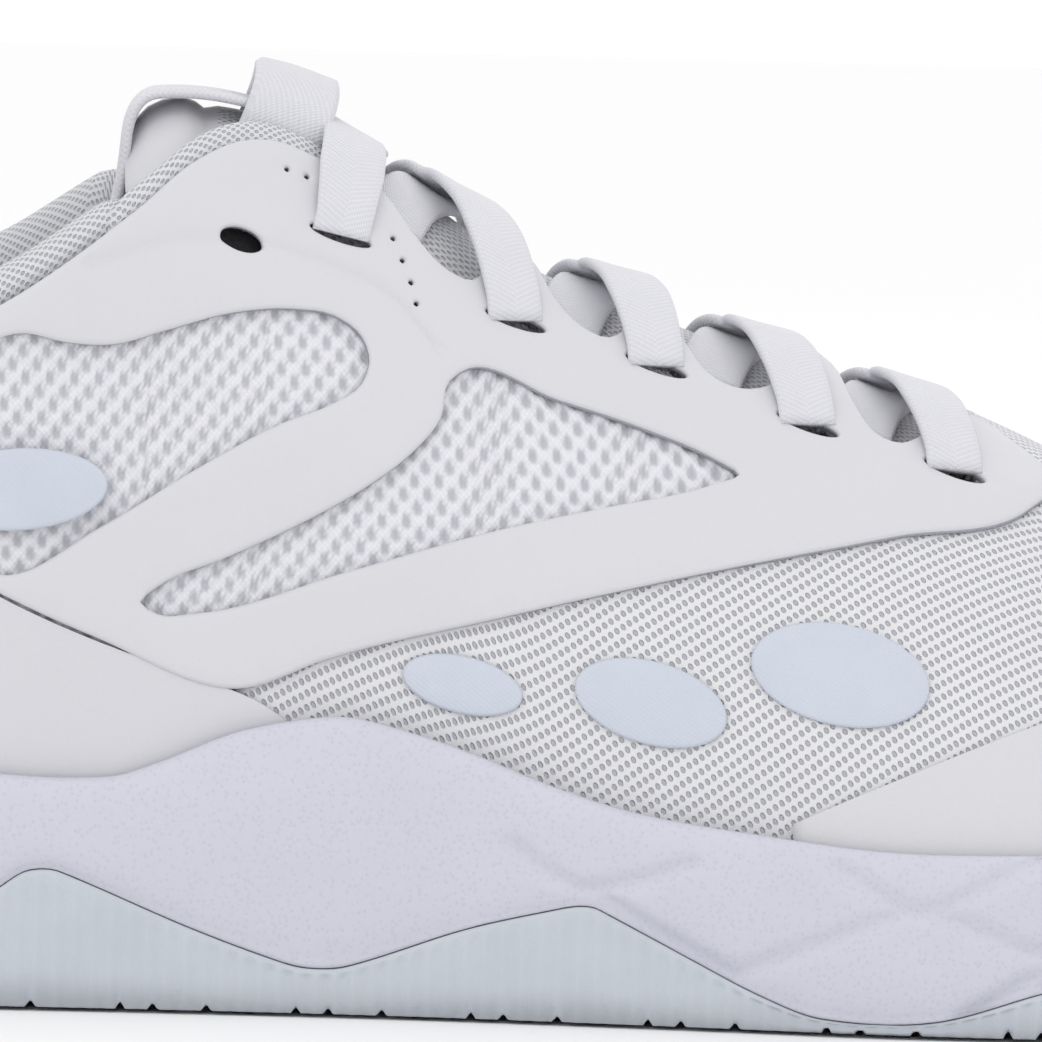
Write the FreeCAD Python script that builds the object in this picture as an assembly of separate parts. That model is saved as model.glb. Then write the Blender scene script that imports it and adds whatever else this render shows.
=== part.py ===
"""Right-foot cheer shoe: a low trainer with a knit upper, a smooth overlay cage, flat laces and a foam sole.

Frame: +X to the toe, -Y the outer (lateral) side, +Z up, z = 0 on the ground. Millimetres.
The upper's layers all follow one foot-shaped surface, at their own distances from it.
"""
import FreeCAD, Part
import math
import os

V = FreeCAD.Vector
LATERAL = -1
MEDIAL = 1

# ---------------------------------------------------------------- driving dimensions
HEEL_FAN_X = -80.0      # behind this the plan is the heel's ellipse
HEEL_REACH = 52.0       # from there to the back of the heel
HEEL_HALF = 33.5
HEEL_ARC = 68.0         # length of a quarter of the heel's ellipse
TOE_FAN_X = 70.0        # ahead of this the plan is the toe's ellipse
TOE_REACH = 62.0
TOE_ARC = 88.0
TOE_Y = 6.0             # the toe's tip leans to the medial side
A_HEEL = HEEL_FAN_X - HEEL_ARC
A_TOE = TOE_FAN_X + TOE_ARC

# Half widths at the feather edge, along x
HALF_WIDTH = {
    LATERAL: [(-80, 33.5), (-55, 33.7), (-25, 35.5), (5, 40), (35, 45), (70, 46.3)],
    MEDIAL: [(-80, 33.5), (-55, 32), (-25, 30.5), (5, 33.5), (35, 40), (70, 46.3)],
}
# Height of the ridge line that the upper's cross-sections rise to
RIDGE = [(-140, 146), (-100, 146), (-80, 141), (-64, 126), (-50, 115), (-38, 109), (-27, 103), (-13, 94),
         (0, 89), (18, 82.5), (33, 77.5), (49, 71), (64, 64), (85, 56), (115, 48)]
RIDGE_Y = [(-140, 0), (-60, 1), (0, 2), (70, 4), (115, 6)]
FEATHER = [(-140, 25), (-60, 24), (-20, 22), (20, 18), (64, 15.5), (95, 17), (135, 22)]
FULLNESS = [(-140, 0.6), (-90, 0.65), (-60, 0.85), (-35, 1.05), (0, 1.2), (40, 1.25), (70, 1.05), (115, 0.9)]

# Top edge of the quarters: heel, collar, then the eyestay beside the throat
QUARTER_TOP = [(-148, 99), (-138, 98.5), (-124, 92), (-108, 83.5), (-95, 81), (-78, 88), (-62, 98.5), (-52, 104),
               (-44, 104.5), (-37, 101.5), (-24, 92), (-7, 84.5), (12, 79.5), (31, 74), (46, 69.5)]
HEEL_TOP_Z = 99.0
COLLAR_FRONT = -63.0    # the padded collar's front ends
COLLAR_DEPTH = 24.0     # how far down its padding reaches
THROAT_X = 46.0         # front end of the throat

# Layers, as distances from the surface
MESH = (-1.6, -0.1)
OVERLAY = (0.1, 1.2)
PATCH = (0.1, 0.6)
COUNTER = (-3.0, -1.8)
FOAM = (-8.0, -1.9)
LINING = (-9.2, -8.2)
TONGUE = (-9.2, -3.6)
TONGUE_SKIN = (-10.4, -9.5)

# The forefoot flexes about a line across the ball of the foot
FLEX_X = 64.0
FLEX_Z = 22.0
FLEX_HALF_ANGLE = 15.0  # half of the fold's travel, in degrees
FLEX_GAP = 0.5

# Sole
SOLE_PROUD = 4.0        # how far the sole's wall stands outside the feather edge
WALL_RUBBER = 2.5
TREAD = 5.0
BOARD = 2.0
LINER = 4.5
LINER_INSET = 3.5
WELT = 0.3              # clearance between the upper's layers and the sole's parts
SIDE = 90.0             # half depth of the prisms that cut parts to an outline

MIDSOLE_TOP = [(-145, 33), (-110, 31.5), (-78, 28.5), (-64, 28.4), (-49, 34), (-35, 36.4), (-20, 32.6), (1, 25.8),
               (17, 23.6), (49, 22.3), (80, 22.5), (115, 26), (145, 33)]
ZIGZAG = [(-145, 20), (-104, 6), (-72, 16.9), (-36, 5.7), (-5, 14), (22, 1.8), (37, 1.6), (64, 9.5), (92, 3.5),
          (120, 16), (145, 26)]
GROUND = [(-145, 4), (-128, 0.8), (-116, 0), (62, 0), (90, 1.5), (118, 6), (145, 13)]

# Side-view outlines of the upper's panels, as x, z
VAMP_ZONE = [(-49, 10), (-49, 40), (-20, 50.5), (8, 57), (32, 62), (47, 66), (47, 130), (200, 130), (200, 10)]
CAGE_OUTLINE = [(-118, 76), (-112, 79), (-95, 78.5), (-78, 84.5), (-62, 95.5), (-54, 102), (-44, 103.8),
                (-38, 102), (-33, 99.5), (-28, 94.5), (-22.5, 89), (-19, 89.2), (-14, 91), (-10.5, 86.5), (-5, 82),
                (-2, 82.5), (2.5, 85), (6, 81.5), (10.5, 76.8), (15.5, 76.2), (20.5, 79.2), (25, 79), (28, 73.8),
                (32.5, 69.8), (36, 71), (40, 72.8), (45, 71.5), (52, 64.5), (49, 62.2), (32, 59.1), (7, 54.2),
                (-17, 48.5), (-38, 43), (-47.5, 39.6), (-66, 45.2), (-78, 50.4), (-95, 60), (-108, 70)]
UPPER_WINDOW = [(-107, 74), (-95, 75.5), (-84, 79), (-76, 82), (-65, 81), (-50, 84.8), (-38, 84.6), (-33.2, 79),
                (-38, 74), (-54, 66.2), (-66, 58.6), (-80, 53.5), (-94, 61.5)]
LOWER_WINDOW = [(-22, 78), (-10, 74.6), (1, 71.2), (12.5, 66.1), (-5, 61.8), (-35, 53.8), (-54, 48.3), (-60.5, 49.6),
                (-50, 55.3), (-33, 64.3), (-24.5, 72.4)]
HEEL_SEAM = [(-148, 72), (-130, 74), (-108, 68), (-95, 58), (-78, 48.8), (-66, 43.6), (-47, 37.5)]
TOE_GUARD_TOP = [(19.5, 25), (28, 28.9), (44, 35.6), (60, 41), (80, 44), (100, 42), (120, 37), (145, 33)]
TOE_PUFF_A = 100.0

# Pale ovals on the knit: centre x, centre z, length, height, tilt in degrees
SIDE_OVALS = [(-76, 63, 22, 10, 4), (-21, 40.5, 15, 7, -12), (2, 39, 19, 10, -14), (25, 43, 22, 12, -10)]

# Laces: the slots' places on both sides, from the front row to the rear one
SLOTS = [(39.7, 66.4), (21.4, 71.7), (2.5, 78.5), (-15.2, 83.8), (-37.1, 94.0)]
SLOT_SIZE = (8.0, 1.6)
TOP_EYELET = (-49.3, 93.5, 5.5, 2.7, -20)
LACE_WIDTH = 7.3
LACE_THICK = 1.3
LACE_STEP = 8.5         # how far ahead of the next slot a crossing lace dives under the eyestay
EDGE_TURN = 17.0        # where a lace comes out from under the eyestay, in degrees from the ridge
# Height of a lace's underside above the surface, against the fraction of its way from its slot
OVER_HEIGHT = [(0, 1.5), (0.3, 1.6), (0.5, 0.8), (0.66, 0.2), (0.8, -0.1), (0.9, -0.5), (1, -1.5)]
UNDER_HEIGHT = [(0, 1.5), (0.3, 1.5), (0.4, 0), (0.5, -2), (0.62, -2.8), (1, -3.0)]
LAST_HEIGHT = [(0, 1.5), (0.4, 1.3), (0.7, -1.8), (1, -3.0)]
KEEPER_START = -33.6    # where the last row meets the keeper's front
KEEPER_START_TURN = 2.0

# Tongue
TONGUE_FRONT = 44.0
TONGUE_REAR = -61.0
TONGUE_TURN_X = -38.0   # behind this the tongue lies flatter than the ridge
TONGUE_LIFT = [(-61, 2.2), (-55, 3.6), (-46, 2.6), (-38, 0)]
TONGUE_LOW = [(-61, 64), (-54, 54), (-38, 48), (0, 53), (44, 62)]
KEEPER_X = (-49.0, -38.5)
KEEPER_RISE = 6.0
KEEPER_TURN = 18.0      # half its width, in degrees round the tongue
KEEPER_THICK = 1.3
END_ROUTE = [(-38.7, 107.6), (-48, 110.6), (-57, 111.8), (-65, 110.6), (-67, 99), (-67, 80)]
END_SPACING = 4.1
END_MIDDLE = 0.6
AGLET_LENGTH = 18.0


# ---------------------------------------------------------------- helpers
def smooth(table, x, flat_ends=False):
    """A smooth curve through the table's points."""
    if x <= table[0][0]:
        return table[0][1]
    if x >= table[-1][0]:
        return table[-1][1]
    last = len(table) - 1
    i = max(k for k in range(last) if table[k][0] <= x)

    def slope(k):
        if k in (0, last) and flat_ends:
            return 0.0
        low, high = table[max(k - 1, 0)], table[min(k + 1, last)]
        return (high[1] - low[1]) / (high[0] - low[0])

    (x0, y0), (x1, y1) = table[i], table[i + 1]
    step = x1 - x0
    t = (x - x0) / step
    return ((1 + 2 * t) * (1 - t) ** 2 * y0 + t * (1 - t) ** 2 * step * slope(i)
            + t * t * (3 - 2 * t) * y1 + t * t * (t - 1) * step * slope(i + 1))


def station(side, a):
    """The feather edge's point and the ridge's x, at distance a along one side from heel to toe."""
    if a < HEEL_FAN_X:
        turn = (HEEL_FAN_X - a) / HEEL_ARC * math.pi / 2
        out = HEEL_REACH * math.sin(turn)
        return HEEL_FAN_X - out, side * HEEL_HALF * math.cos(turn), HEEL_FAN_X - out + out * out * 0.5 / HEEL_REACH
    if a > TOE_FAN_X:
        turn = (a - TOE_FAN_X) / TOE_ARC * math.pi / 2
        out = TOE_REACH * math.sin(turn)
        wide = side * smooth(HALF_WIDTH[side], TOE_FAN_X, True) - TOE_Y
        return TOE_FAN_X + out, TOE_Y + wide * math.cos(turn), TOE_FAN_X + out - out * out * 0.36 / TOE_REACH
    return a, side * smooth(HALF_WIDTH[side], a, True), a


def skin(side, a, theta):
    """A point of the foot-shaped surface: theta runs from the feather edge, 0, to the ridge, 90 degrees."""
    bx, by, rx = station(side, a)
    bz = smooth(FEATHER, bx)
    rz = smooth(RIDGE, rx)
    ry = smooth(RIDGE_Y, rx)
    fall = (smooth(RIDGE, rx + 1) - smooth(RIDGE, rx - 1)) / 2
    cosine = math.cos(theta)
    inward = math.copysign(abs(cosine) ** smooth(FULLNESS, rx), cosine)
    up = math.sin(theta)
    x = rx + (bx - rx) * inward
    return V(x, ry + (by - ry) * inward, bz + (rz - bz) * up + fall * (x - rx) * up)


def layer(side, a, theta, distance):
    """The surface's point moved outward along its normal."""
    theta_in = min(theta, math.radians(89))
    da, dt = 0.5, 0.01
    along = skin(side, a + da, theta_in) - skin(side, a - da, theta_in)
    across = skin(side, a, theta_in + dt) - skin(side, a, theta_in - dt)
    normal = along.cross(across) * -side
    normal.normalize()
    return skin(side, a, theta) + normal * distance


def arch_point(a, turn, distance):
    """A layer's point, with turn as the angle from the ridge, negative on the lateral side."""
    side = LATERAL if turn < 0 else MEDIAL
    return layer(side, a, math.radians(90 - abs(turn)), distance)


def theta_at(side, a, z):
    """The angle at which the surface reaches a height."""
    bx, _, rx = station(side, a)
    bz = smooth(FEATHER, bx)
    sine = (z - bz) / (smooth(RIDGE, rx) - bz)
    return math.asin(max(-0.2, min(1.0, sine)))


def spread(low, high, count):
    return [low + (high - low) * i / (count - 1) for i in range(count)]


def solid_between(outer, inner):
    """A closed solid between two grids of points."""
    faces = []
    for grid in (outer, inner):
        surface = Part.BSplineSurface()
        surface.interpolate(grid)
        faces.append(surface.toShape())
    for first, second in zip(edge_curves(faces[0]), edge_curves(faces[1])):
        faces.append(Part.makeRuledSurface(first, second))
    shell = Part.makeShell(faces)
    shell.sewShape()
    solid = Part.makeSolid(shell)
    if solid.Volume < 0:
        solid.reverse()
    return solid


def edge_curves(face):
    """A four-sided face's boundary curves, in the same order on every face."""
    surface = face.Surface
    u0, u1, v0, v1 = surface.bounds()
    return [surface.uIso(u0).toShape(), surface.uIso(u1).toShape(),
            surface.vIso(v0).toShape(), surface.vIso(v1).toShape()]


def wrap(places, low, high, depths, columns):
    """A layer over part of the surface. places are (side, a); low and high give theta there."""
    grids = []
    for distance in (depths[1], depths[0]):
        grid = []
        for side, a in places:
            row = [layer(side, a, theta, distance) for theta in spread(low(side, a), high(side, a), columns)]
            grid.append(row)
        grids.append(grid)
    return solid_between(grids[0], grids[1])


def around_heel(front_a, count):
    """Places from the lateral side round the heel to the medial side."""
    half = spread(front_a, A_HEEL, count)
    return [(LATERAL, a) for a in half[:-1]] + [(MEDIAL, a) for a in reversed(half)]


def one_side(side, low, high, count):
    return [(side, a) for a in spread(low, high, count)]


def prism(outline, y_low=-SIDE, y_high=SIDE):
    """An x, z outline run across the shoe."""
    points = [V(x, y_low, z) for x, z in outline]
    face = Part.Face(Part.makePolygon(points + points[:1]))
    return face.extrude(V(0, y_high - y_low, 0))


def half_prism(outline, side):
    return prism(outline, -SIDE, 0) if side == LATERAL else prism(outline, 0, SIDE)


def curve_wire(points):
    """A smooth closed wire in plan."""
    curve = Part.BSplineCurve()
    curve.interpolate(points, PeriodicFlag=True)
    return Part.Wire(curve.toShape())


def plan_block(proud, low, high):
    """The sole's plan, standing proud of the feather edge, as an upright block."""
    points = []
    loop = around_heel(A_TOE, 19)
    for side, a in loop[1:]:
        here = V(*station(side, a)[:2], 0)
        ahead = V(*station(side, a + 1)[:2], 0)
        behind = V(*station(side, a - 1)[:2], 0)
        outward = (ahead - behind).cross(V(0, 0, 1)) * -side
        outward.normalize()
        points.append(here + outward * proud + V(0, 0, low))
    return Part.Face(curve_wire(points)).extrude(V(0, 0, high - low))


def band(top, bottom, lift_top=0.0, lift_bottom=0.0):
    """Everything between two height lines, as a prism across the shoe."""
    upper = [(x, z + lift_top) for x, z in top]
    lower = [(x, z + lift_bottom) for x, z in reversed(bottom)]
    return prism(upper + lower)


def sampled(table, step=8.0):
    """A smooth line's points, close enough together to cut a clean edge."""
    low, high = table[0][0], table[-1][0]
    count = int((high - low) / step) + 1
    return [(x, smooth(table, x)) for x in spread(low, high, count)]


# ---------------------------------------------------------------- the flex line
def rear_zone():
    lean = math.tan(math.radians(FLEX_HALF_ANGLE)) * 100
    return prism([(-200, -20), (FLEX_X - FLEX_GAP / 2, -20), (FLEX_X - FLEX_GAP / 2, FLEX_Z),
                  (FLEX_X - FLEX_GAP / 2 - lean, FLEX_Z + 100), (-200, FLEX_Z + 100)])


def front_zone():
    lean = math.tan(math.radians(FLEX_HALF_ANGLE)) * 100
    return prism([(200, -20), (FLEX_X + FLEX_GAP / 2, -20), (FLEX_X + FLEX_GAP / 2, FLEX_Z),
                  (FLEX_X + FLEX_GAP / 2 + lean, FLEX_Z + 100), (200, FLEX_Z + 100)])


def crease_zone():
    lean = math.tan(math.radians(FLEX_HALF_ANGLE)) * 100
    return prism([(FLEX_X, FLEX_Z + 2 * FLEX_GAP / math.tan(math.radians(FLEX_HALF_ANGLE))),
                  (FLEX_X - FLEX_GAP + lean, FLEX_Z + 100), (FLEX_X + FLEX_GAP - lean, FLEX_Z + 100)])


# ---------------------------------------------------------------- sole
def footbed_line():
    """Height of the floor that the midsole gives the board, along x."""
    return [(x, smooth(FEATHER, x) - BOARD - WELT) for x in spread(-145, 145, 30)]


def outsole():
    wall = plan_block(SOLE_PROUD, -5, 60)
    core = plan_block(SOLE_PROUD - WALL_RUBBER, -5, 60)
    body = wall.common(band(ZIGZAG, GROUND))
    return body.cut(core.common(band([(x, 60) for x, _ in GROUND], GROUND, 0, TREAD)))


def midsole(rubber):
    wall = plan_block(SOLE_PROUD, -5, 60)
    body = wall.common(band(sampled(MIDSOLE_TOP), GROUND)).cut(rubber)
    hollow = plan_block(OVERLAY[1] + WELT, -5, 70)
    return body.cut(hollow.common(band([(x, 70) for x, _ in footbed_line()], footbed_line())))


def inner_slab(bottom, thickness, inset):
    """A flat layer over the footbed."""
    line = [(x, z + bottom) for x, z in footbed_line()]
    return plan_block(-inset, -5, 70).common(band(line, line, thickness, 0))


def sole_layers():
    rubber = outsole()
    foam = midsole(rubber)
    board = inner_slab(0.1, BOARD, 0.2)
    liner = inner_slab(BOARD + 0.3, LINER, LINER_INSET)
    return {"outsole": rubber, "midsole": foam, "strobel_board": board, "sockliner": liner}


# ---------------------------------------------------------------- upper
def side_shell(side, depths):
    """One layer over a whole side, from the heel's back to just past the toe's tip and the ridge."""
    places = one_side(side, A_HEEL, A_TOE + 1.5, 44)
    return wrap(places, lambda s, a: 0.0, lambda s, a: math.radians(92), depths, 15)


def below(line, floor=-20):
    """The prism under a height line, closed by a flat floor."""
    return prism([(line[0][0], floor)] + line + [(line[-1][0], floor)])


def quarter_line():
    """The quarter's top edge: along the collar, then beside the throat."""
    return [(x, smooth(QUARTER_TOP, x)) for x in spread(QUARTER_TOP[0][0], THROAT_X, 40)]


def quarter(side, shell):
    """The coarse knit quarter: under the collar and the eyestay, behind the seam with the vamp."""
    return trim_collar(shell, quarter_line()).cut(half_prism(VAMP_ZONE, side))


def trim_collar(shape, line):
    """Cuts away what stands above a height line, in x, with the heel's own line behind it."""
    return shape.common(below([(-200, HEEL_TOP_Z)] + line))


def arch_shell(low, high, depths):
    """One layer from the lateral feather edge over the ridge to the medial one."""
    grids = []
    for distance in (depths[1], depths[0]):
        grids.append([[arch_point(a, turn, distance) for turn in spread(-90, 90, 31)] for a in spread(low, high, 32)])
    return solid_between(grids[0], grids[1])


def vamp():
    """The fine mesh over the front of the foot, open only under the toe guard at its tip."""
    return arch_shell(-50, A_TOE - 1.5, MESH).common(prism(VAMP_ZONE))


def cage(side, shell):
    """The smooth overlay, with its two windows over the knit."""
    shape = shell.common(half_prism(CAGE_OUTLINE, side))
    for window in (UPPER_WINDOW, LOWER_WINDOW):
        shape = shape.cut(half_prism(window, side))
    return shape


def heel_panel():
    """The smooth panel round the heel, from the midsole's rim up to its seam."""
    return wrap(around_heel(HEEL_SEAM[-1][0], 16), lambda s, a: 0.0,
                lambda s, a: theta_at(s, a, smooth(HEEL_SEAM, a)), OVERLAY, 7)


def heel_counter():
    """The stiff cup inside the heel."""
    return wrap(around_heel(-78, 12), lambda s, a: theta_at(s, a, 30),
                lambda s, a: theta_at(s, a, smooth(QUARTER_TOP, a) - COLLAR_DEPTH - 2), COUNTER, 6)


def collar_layer(depths):
    """A band round the collar, from just under its edge down."""
    return wrap(around_heel(COLLAR_FRONT, 17),
                lambda s, a: theta_at(s, a, smooth(QUARTER_TOP, a) - COLLAR_DEPTH),
                lambda s, a: theta_at(s, a, smooth(QUARTER_TOP, a) - 1.5), depths, 7)


def oval(centre, length, height, tilt):
    """An oval outline in side view."""
    points = []
    for i in range(24):
        turn = math.radians(15 * i)
        u, w = length / 2 * math.cos(turn), height / 2 * math.sin(turn)
        lean = math.radians(tilt)
        points.append((centre[0] + u * math.cos(lean) - w * math.sin(lean),
                       centre[1] + u * math.sin(lean) + w * math.cos(lean)))
    return points


def toe_guard(shells):
    """The smooth strip that rises from the sole and wraps the toe."""
    zone = below(TOE_GUARD_TOP)
    return shells[LATERAL].common(zone).fuse(shells[MEDIAL].common(zone))


def toe_puff():
    """The stiffener inside the toe's rim."""
    half = spread(TOE_PUFF_A, A_TOE, 8)
    places = [(LATERAL, a) for a in half[:-1]] + [(MEDIAL, a) for a in reversed(half)]
    return wrap(places, lambda s, a: math.radians(12), lambda s, a: math.radians(55), COUNTER, 6)


# ---------------------------------------------------------------- tongue
def tongue_point(x, turn, distance):
    """A point of the tongue: turn is the angle from the ridge, negative on the lateral side."""
    side = LATERAL if turn < 0 else MEDIAL
    here = max(x, TONGUE_TURN_X)
    fall = (smooth(RIDGE, here + 1) - smooth(RIDGE, here - 1)) / 2
    lean = math.radians(turn * 1.3)
    outward = V(-fall * math.cos(lean), math.sin(lean), math.cos(lean))
    outward.normalize()
    point = skin(side, here, math.radians(90 - abs(turn))) + outward * distance
    if x < TONGUE_TURN_X:
        point = point + V(x - TONGUE_TURN_X, 0, smooth(TONGUE_LIFT, x))
    return point


def tongue_sheet(x_low, x_high, inner, outer, columns=13, reach=lambda x: 90 - smooth(TONGUE_LOW, x)):
    """A layer of the tongue; inner and outer give distances at a fraction, -1 to 1, across it."""
    grids = []
    for distance in (outer, inner):
        grids.append([[tongue_point(x, reach(x) * w, distance(w)) for w in spread(-1, 1, columns)]
                      for x in spread(x_low, x_high, 14)])
    return solid_between(grids[0], grids[1])


def tongue():
    return tongue_sheet(TONGUE_REAR, TONGUE_FRONT, lambda w: TONGUE[0], lambda w: TONGUE[1])


def tongue_lining():
    return tongue_sheet(TONGUE_REAR + 1, TONGUE_FRONT - 1, lambda w: TONGUE_SKIN[0], lambda w: TONGUE_SKIN[1])


def lace_keeper():
    """The loop across the tongue that the lace's two ends pass under."""
    def rise(w):
        return TONGUE[1] + 0.3 + KEEPER_RISE * (1 - abs(w) ** 6)

    return tongue_sheet(KEEPER_X[0], KEEPER_X[1], rise, lambda w: rise(w) + KEEPER_THICK, 17,
                        lambda x: KEEPER_TURN)


def ribbon_band(route, thick):
    """A thin band's outline in x, z, rounded at the route's corners."""
    line = Part.BSplineCurve()
    line.buildFromPoles([V(x, 0, z) for x, z in route], False, 2)
    upper, lower = [], []
    for place in spread(line.FirstParameter, line.LastParameter, 33):
        here = line.value(place)
        up = V(0, 1, 0).cross(line.tangent(place)[0])
        up.normalize()
        upper.append(here + up * thick / 2)
        lower.append(here - up * thick / 2)
    return [(p.x, p.z) for p in upper + lower[::-1]]


def lace_end(side):
    """One end of the lace: under the keeper, over the tongue's top and down into the shoe."""
    y = END_MIDDLE + side * END_SPACING
    return prism(ribbon_band(END_ROUTE, LACE_THICK), y - LACE_WIDTH / 2, y + LACE_WIDTH / 2)


def aglet(side):
    """The hard tip on a lace's end."""
    x, z = END_ROUTE[-1]
    return Part.makeCylinder(1.6, AGLET_LENGTH, V(x, END_MIDDLE + side * END_SPACING, z - AGLET_LENGTH - 0.1))


# ---------------------------------------------------------------- laces
def slot_turn(side, x, z):
    return side * (90 - math.degrees(theta_at(side, x, z)))


def lace_strip(start, finish, height):
    """A flat lace between two places, each x and turn; height gives its underside's distance along the way."""
    def at(step, rise):
        x = start[0] + (finish[0] - start[0]) * step
        turn = start[1] + (finish[1] - start[1]) * step
        return arch_point(x, turn, smooth(height, step) + rise)

    grids = []
    for lift in (LACE_THICK, 0):
        grid = []
        for t in spread(0, 1, 15):
            here = at(t, lift)
            along = at(t + 0.01, lift) - at(t - 0.01, lift)
            across = along.cross(at(t, lift + 1) - here)
            across.normalize()
            grid.append([here + across * LACE_WIDTH * w for w in (-0.5, -0.17, 0.17, 0.5)])
        grids.append(grid)
    return solid_between(grids[0], grids[1])


def lace_row(number):
    """A pair of laces from one row's slots: they cross to dive under the eyestay ahead of the next row's slots.
    The last pair runs in to the keeper."""
    strips = []
    for side, height in ((LATERAL, OVER_HEIGHT), (MEDIAL, UNDER_HEIGHT)):
        x, z = SLOTS[number - 1]
        start = (x, slot_turn(side, x, z))
        if number == len(SLOTS):
            strips.append(lace_strip(start, (KEEPER_START, side * KEEPER_START_TURN), LAST_HEIGHT))
        else:
            strips.append(lace_strip(start, (SLOTS[number][0] + LACE_STEP, -side * EDGE_TURN), height))
    return Part.makeCompound(strips)


def lace_slots(side):
    """The slots that the laces dive into, and the spare eyelet above them."""
    cutters = [half_prism(oval((x, z), SLOT_SIZE[0], SLOT_SIZE[1], -18), side) for x, z in SLOTS]
    x, z, length, height, tilt = TOP_EYELET
    return cutters + [half_prism(oval((x, z), length, height, tilt), side)]


# ---------------------------------------------------------------- assembly
def build():
    parts = {}
    zones = {"_rear": rear_zone(), "_front": front_zone()}
    for name, shape in sole_layers().items():
        for end, zone in zones.items():
            parts[name + end] = shape.common(zone)

    knit = {side: side_shell(side, MESH) for side in (LATERAL, MEDIAL)}
    smooth_skin = {side: side_shell(side, OVERLAY) for side in (LATERAL, MEDIAL)}
    film = {side: side_shell(side, PATCH) for side in (LATERAL, MEDIAL)}
    front = vamp()
    parts["vamp_rear"] = front.common(rear_zone())
    parts["vamp_crease"] = front.common(crease_zone())
    parts["toe_box"] = front.common(front_zone())
    guard = toe_guard(smooth_skin)
    parts["toe_guard_rear"] = guard.common(rear_zone())
    parts["toe_guard_front"] = guard.common(front_zone())
    parts["toe_puff"] = toe_puff()
    for side, word in ((LATERAL, "lateral"), (MEDIAL, "medial")):
        slots = lace_slots(side)
        parts["quarter_" + word] = quarter(side, knit[side]).cut(slots[-1])
        panel = cage(side, smooth_skin[side])
        for slot in slots:
            panel = panel.cut(slot)
        parts["cage_" + word] = panel
        ovals = [film[side].common(half_prism(oval(o[:2], *o[2:]), side)) for o in SIDE_OVALS]
        parts["side_ovals_" + word] = Part.makeCompound(ovals)
        parts["lace_end_" + word] = lace_end(side)
        parts["aglet_" + word] = aglet(side)
    parts["heel_panel"] = heel_panel()
    parts["heel_counter"] = heel_counter()
    parts["collar_foam"] = collar_layer(FOAM)
    parts["collar_lining"] = collar_layer(LINING)
    parts["tongue"] = tongue()
    parts["tongue_lining"] = tongue_lining()
    parts["lace_keeper"] = lace_keeper()
    for number in range(1, len(SLOTS) + 1):
        parts["lace_row_" + str(number)] = lace_row(number)
    return parts


os.makedirs("parts", exist_ok=True)
for node, shape in build().items():
    shape.exportStep("parts/" + node + ".step")
    print(node, "valid" if shape.isValid() else "INVALID", len(shape.Solids), "solids",
          round(shape.Volume / 1000, 2), "cm3")
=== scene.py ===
"""Cheer shoe: the looks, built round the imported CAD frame.

Metres, +X to the toe, -Y the outer side, +Z up.
The upper's panels are cut in a flat chart of the foot-shaped surface and then laid on it, each at
its own distance.
Lengths in the shape functions are millimetres; MM turns them into the frame's metres.
"""
import math

import bmesh
import bpy
import numpy as np
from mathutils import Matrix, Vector
from mathutils.geometry import delaunay_2d_cdt


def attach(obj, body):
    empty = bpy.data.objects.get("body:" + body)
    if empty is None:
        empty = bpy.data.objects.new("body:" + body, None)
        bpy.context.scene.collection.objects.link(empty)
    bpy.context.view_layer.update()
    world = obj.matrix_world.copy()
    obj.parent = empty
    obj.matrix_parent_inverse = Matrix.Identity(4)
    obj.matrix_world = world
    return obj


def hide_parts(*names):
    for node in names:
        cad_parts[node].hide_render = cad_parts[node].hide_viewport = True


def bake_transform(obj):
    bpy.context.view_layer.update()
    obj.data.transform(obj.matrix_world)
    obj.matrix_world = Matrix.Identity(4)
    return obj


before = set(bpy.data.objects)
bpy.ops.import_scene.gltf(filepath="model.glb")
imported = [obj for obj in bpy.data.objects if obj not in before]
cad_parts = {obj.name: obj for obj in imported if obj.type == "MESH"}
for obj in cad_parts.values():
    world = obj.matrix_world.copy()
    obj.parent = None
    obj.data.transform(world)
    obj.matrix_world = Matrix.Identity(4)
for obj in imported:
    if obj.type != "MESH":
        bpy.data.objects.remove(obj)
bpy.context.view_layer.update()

MM = 0.001
LATERAL, MEDIAL = -1, 1

# ---------------------------------------------------------------- the foot-shaped surface
HEEL_FAN_X, HEEL_REACH, HEEL_HALF, HEEL_ARC = -80.0, 52.0, 33.5, 68.0
TOE_FAN_X, TOE_REACH, TOE_ARC, TOE_Y = 70.0, 62.0, 88.0, 6.0
HEEL_RIDGE_PULL, TOE_RIDGE_PULL = 0.5, 0.36
CREST = 6
A_HEEL = HEEL_FAN_X - HEEL_ARC
A_TOE = TOE_FAN_X + TOE_ARC
HALF_WIDTH = {
    LATERAL: [(-80, 33.5), (-55, 33.7), (-25, 35.5), (5, 40), (35, 45), (70, 46.3)],
    MEDIAL: [(-80, 33.5), (-55, 32), (-25, 30.5), (5, 33.5), (35, 40), (70, 46.3)],
}
RIDGE = [(-140, 146), (-100, 146), (-80, 141), (-64, 126), (-50, 115), (-38, 109), (-27, 103), (-13, 94),
         (0, 89), (18, 82.5), (33, 77.5), (49, 71), (64, 64), (85, 56), (115, 48)]
RIDGE_Y = [(-140, 0), (-60, 1), (0, 2), (70, 4), (115, 6)]
FEATHER = [(-140, 25), (-60, 24), (-20, 22), (20, 18), (64, 15.5), (95, 17), (135, 22)]
FULLNESS = [(-140, 0.6), (-90, 0.65), (-60, 0.85), (-35, 1.05), (0, 1.2), (40, 1.25), (70, 1.05),
            (115, 0.9)]
QUARTER_TOP = [(-148, 99), (-138, 98.5), (-124, 92), (-108, 83.5), (-95, 81), (-78, 88), (-62, 98.5),
               (-52, 104), (-44, 104.5), (-37, 101.5), (-24, 92), (-7, 84.5), (12, 79.5), (31, 74), (46, 69.5)]


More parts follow.
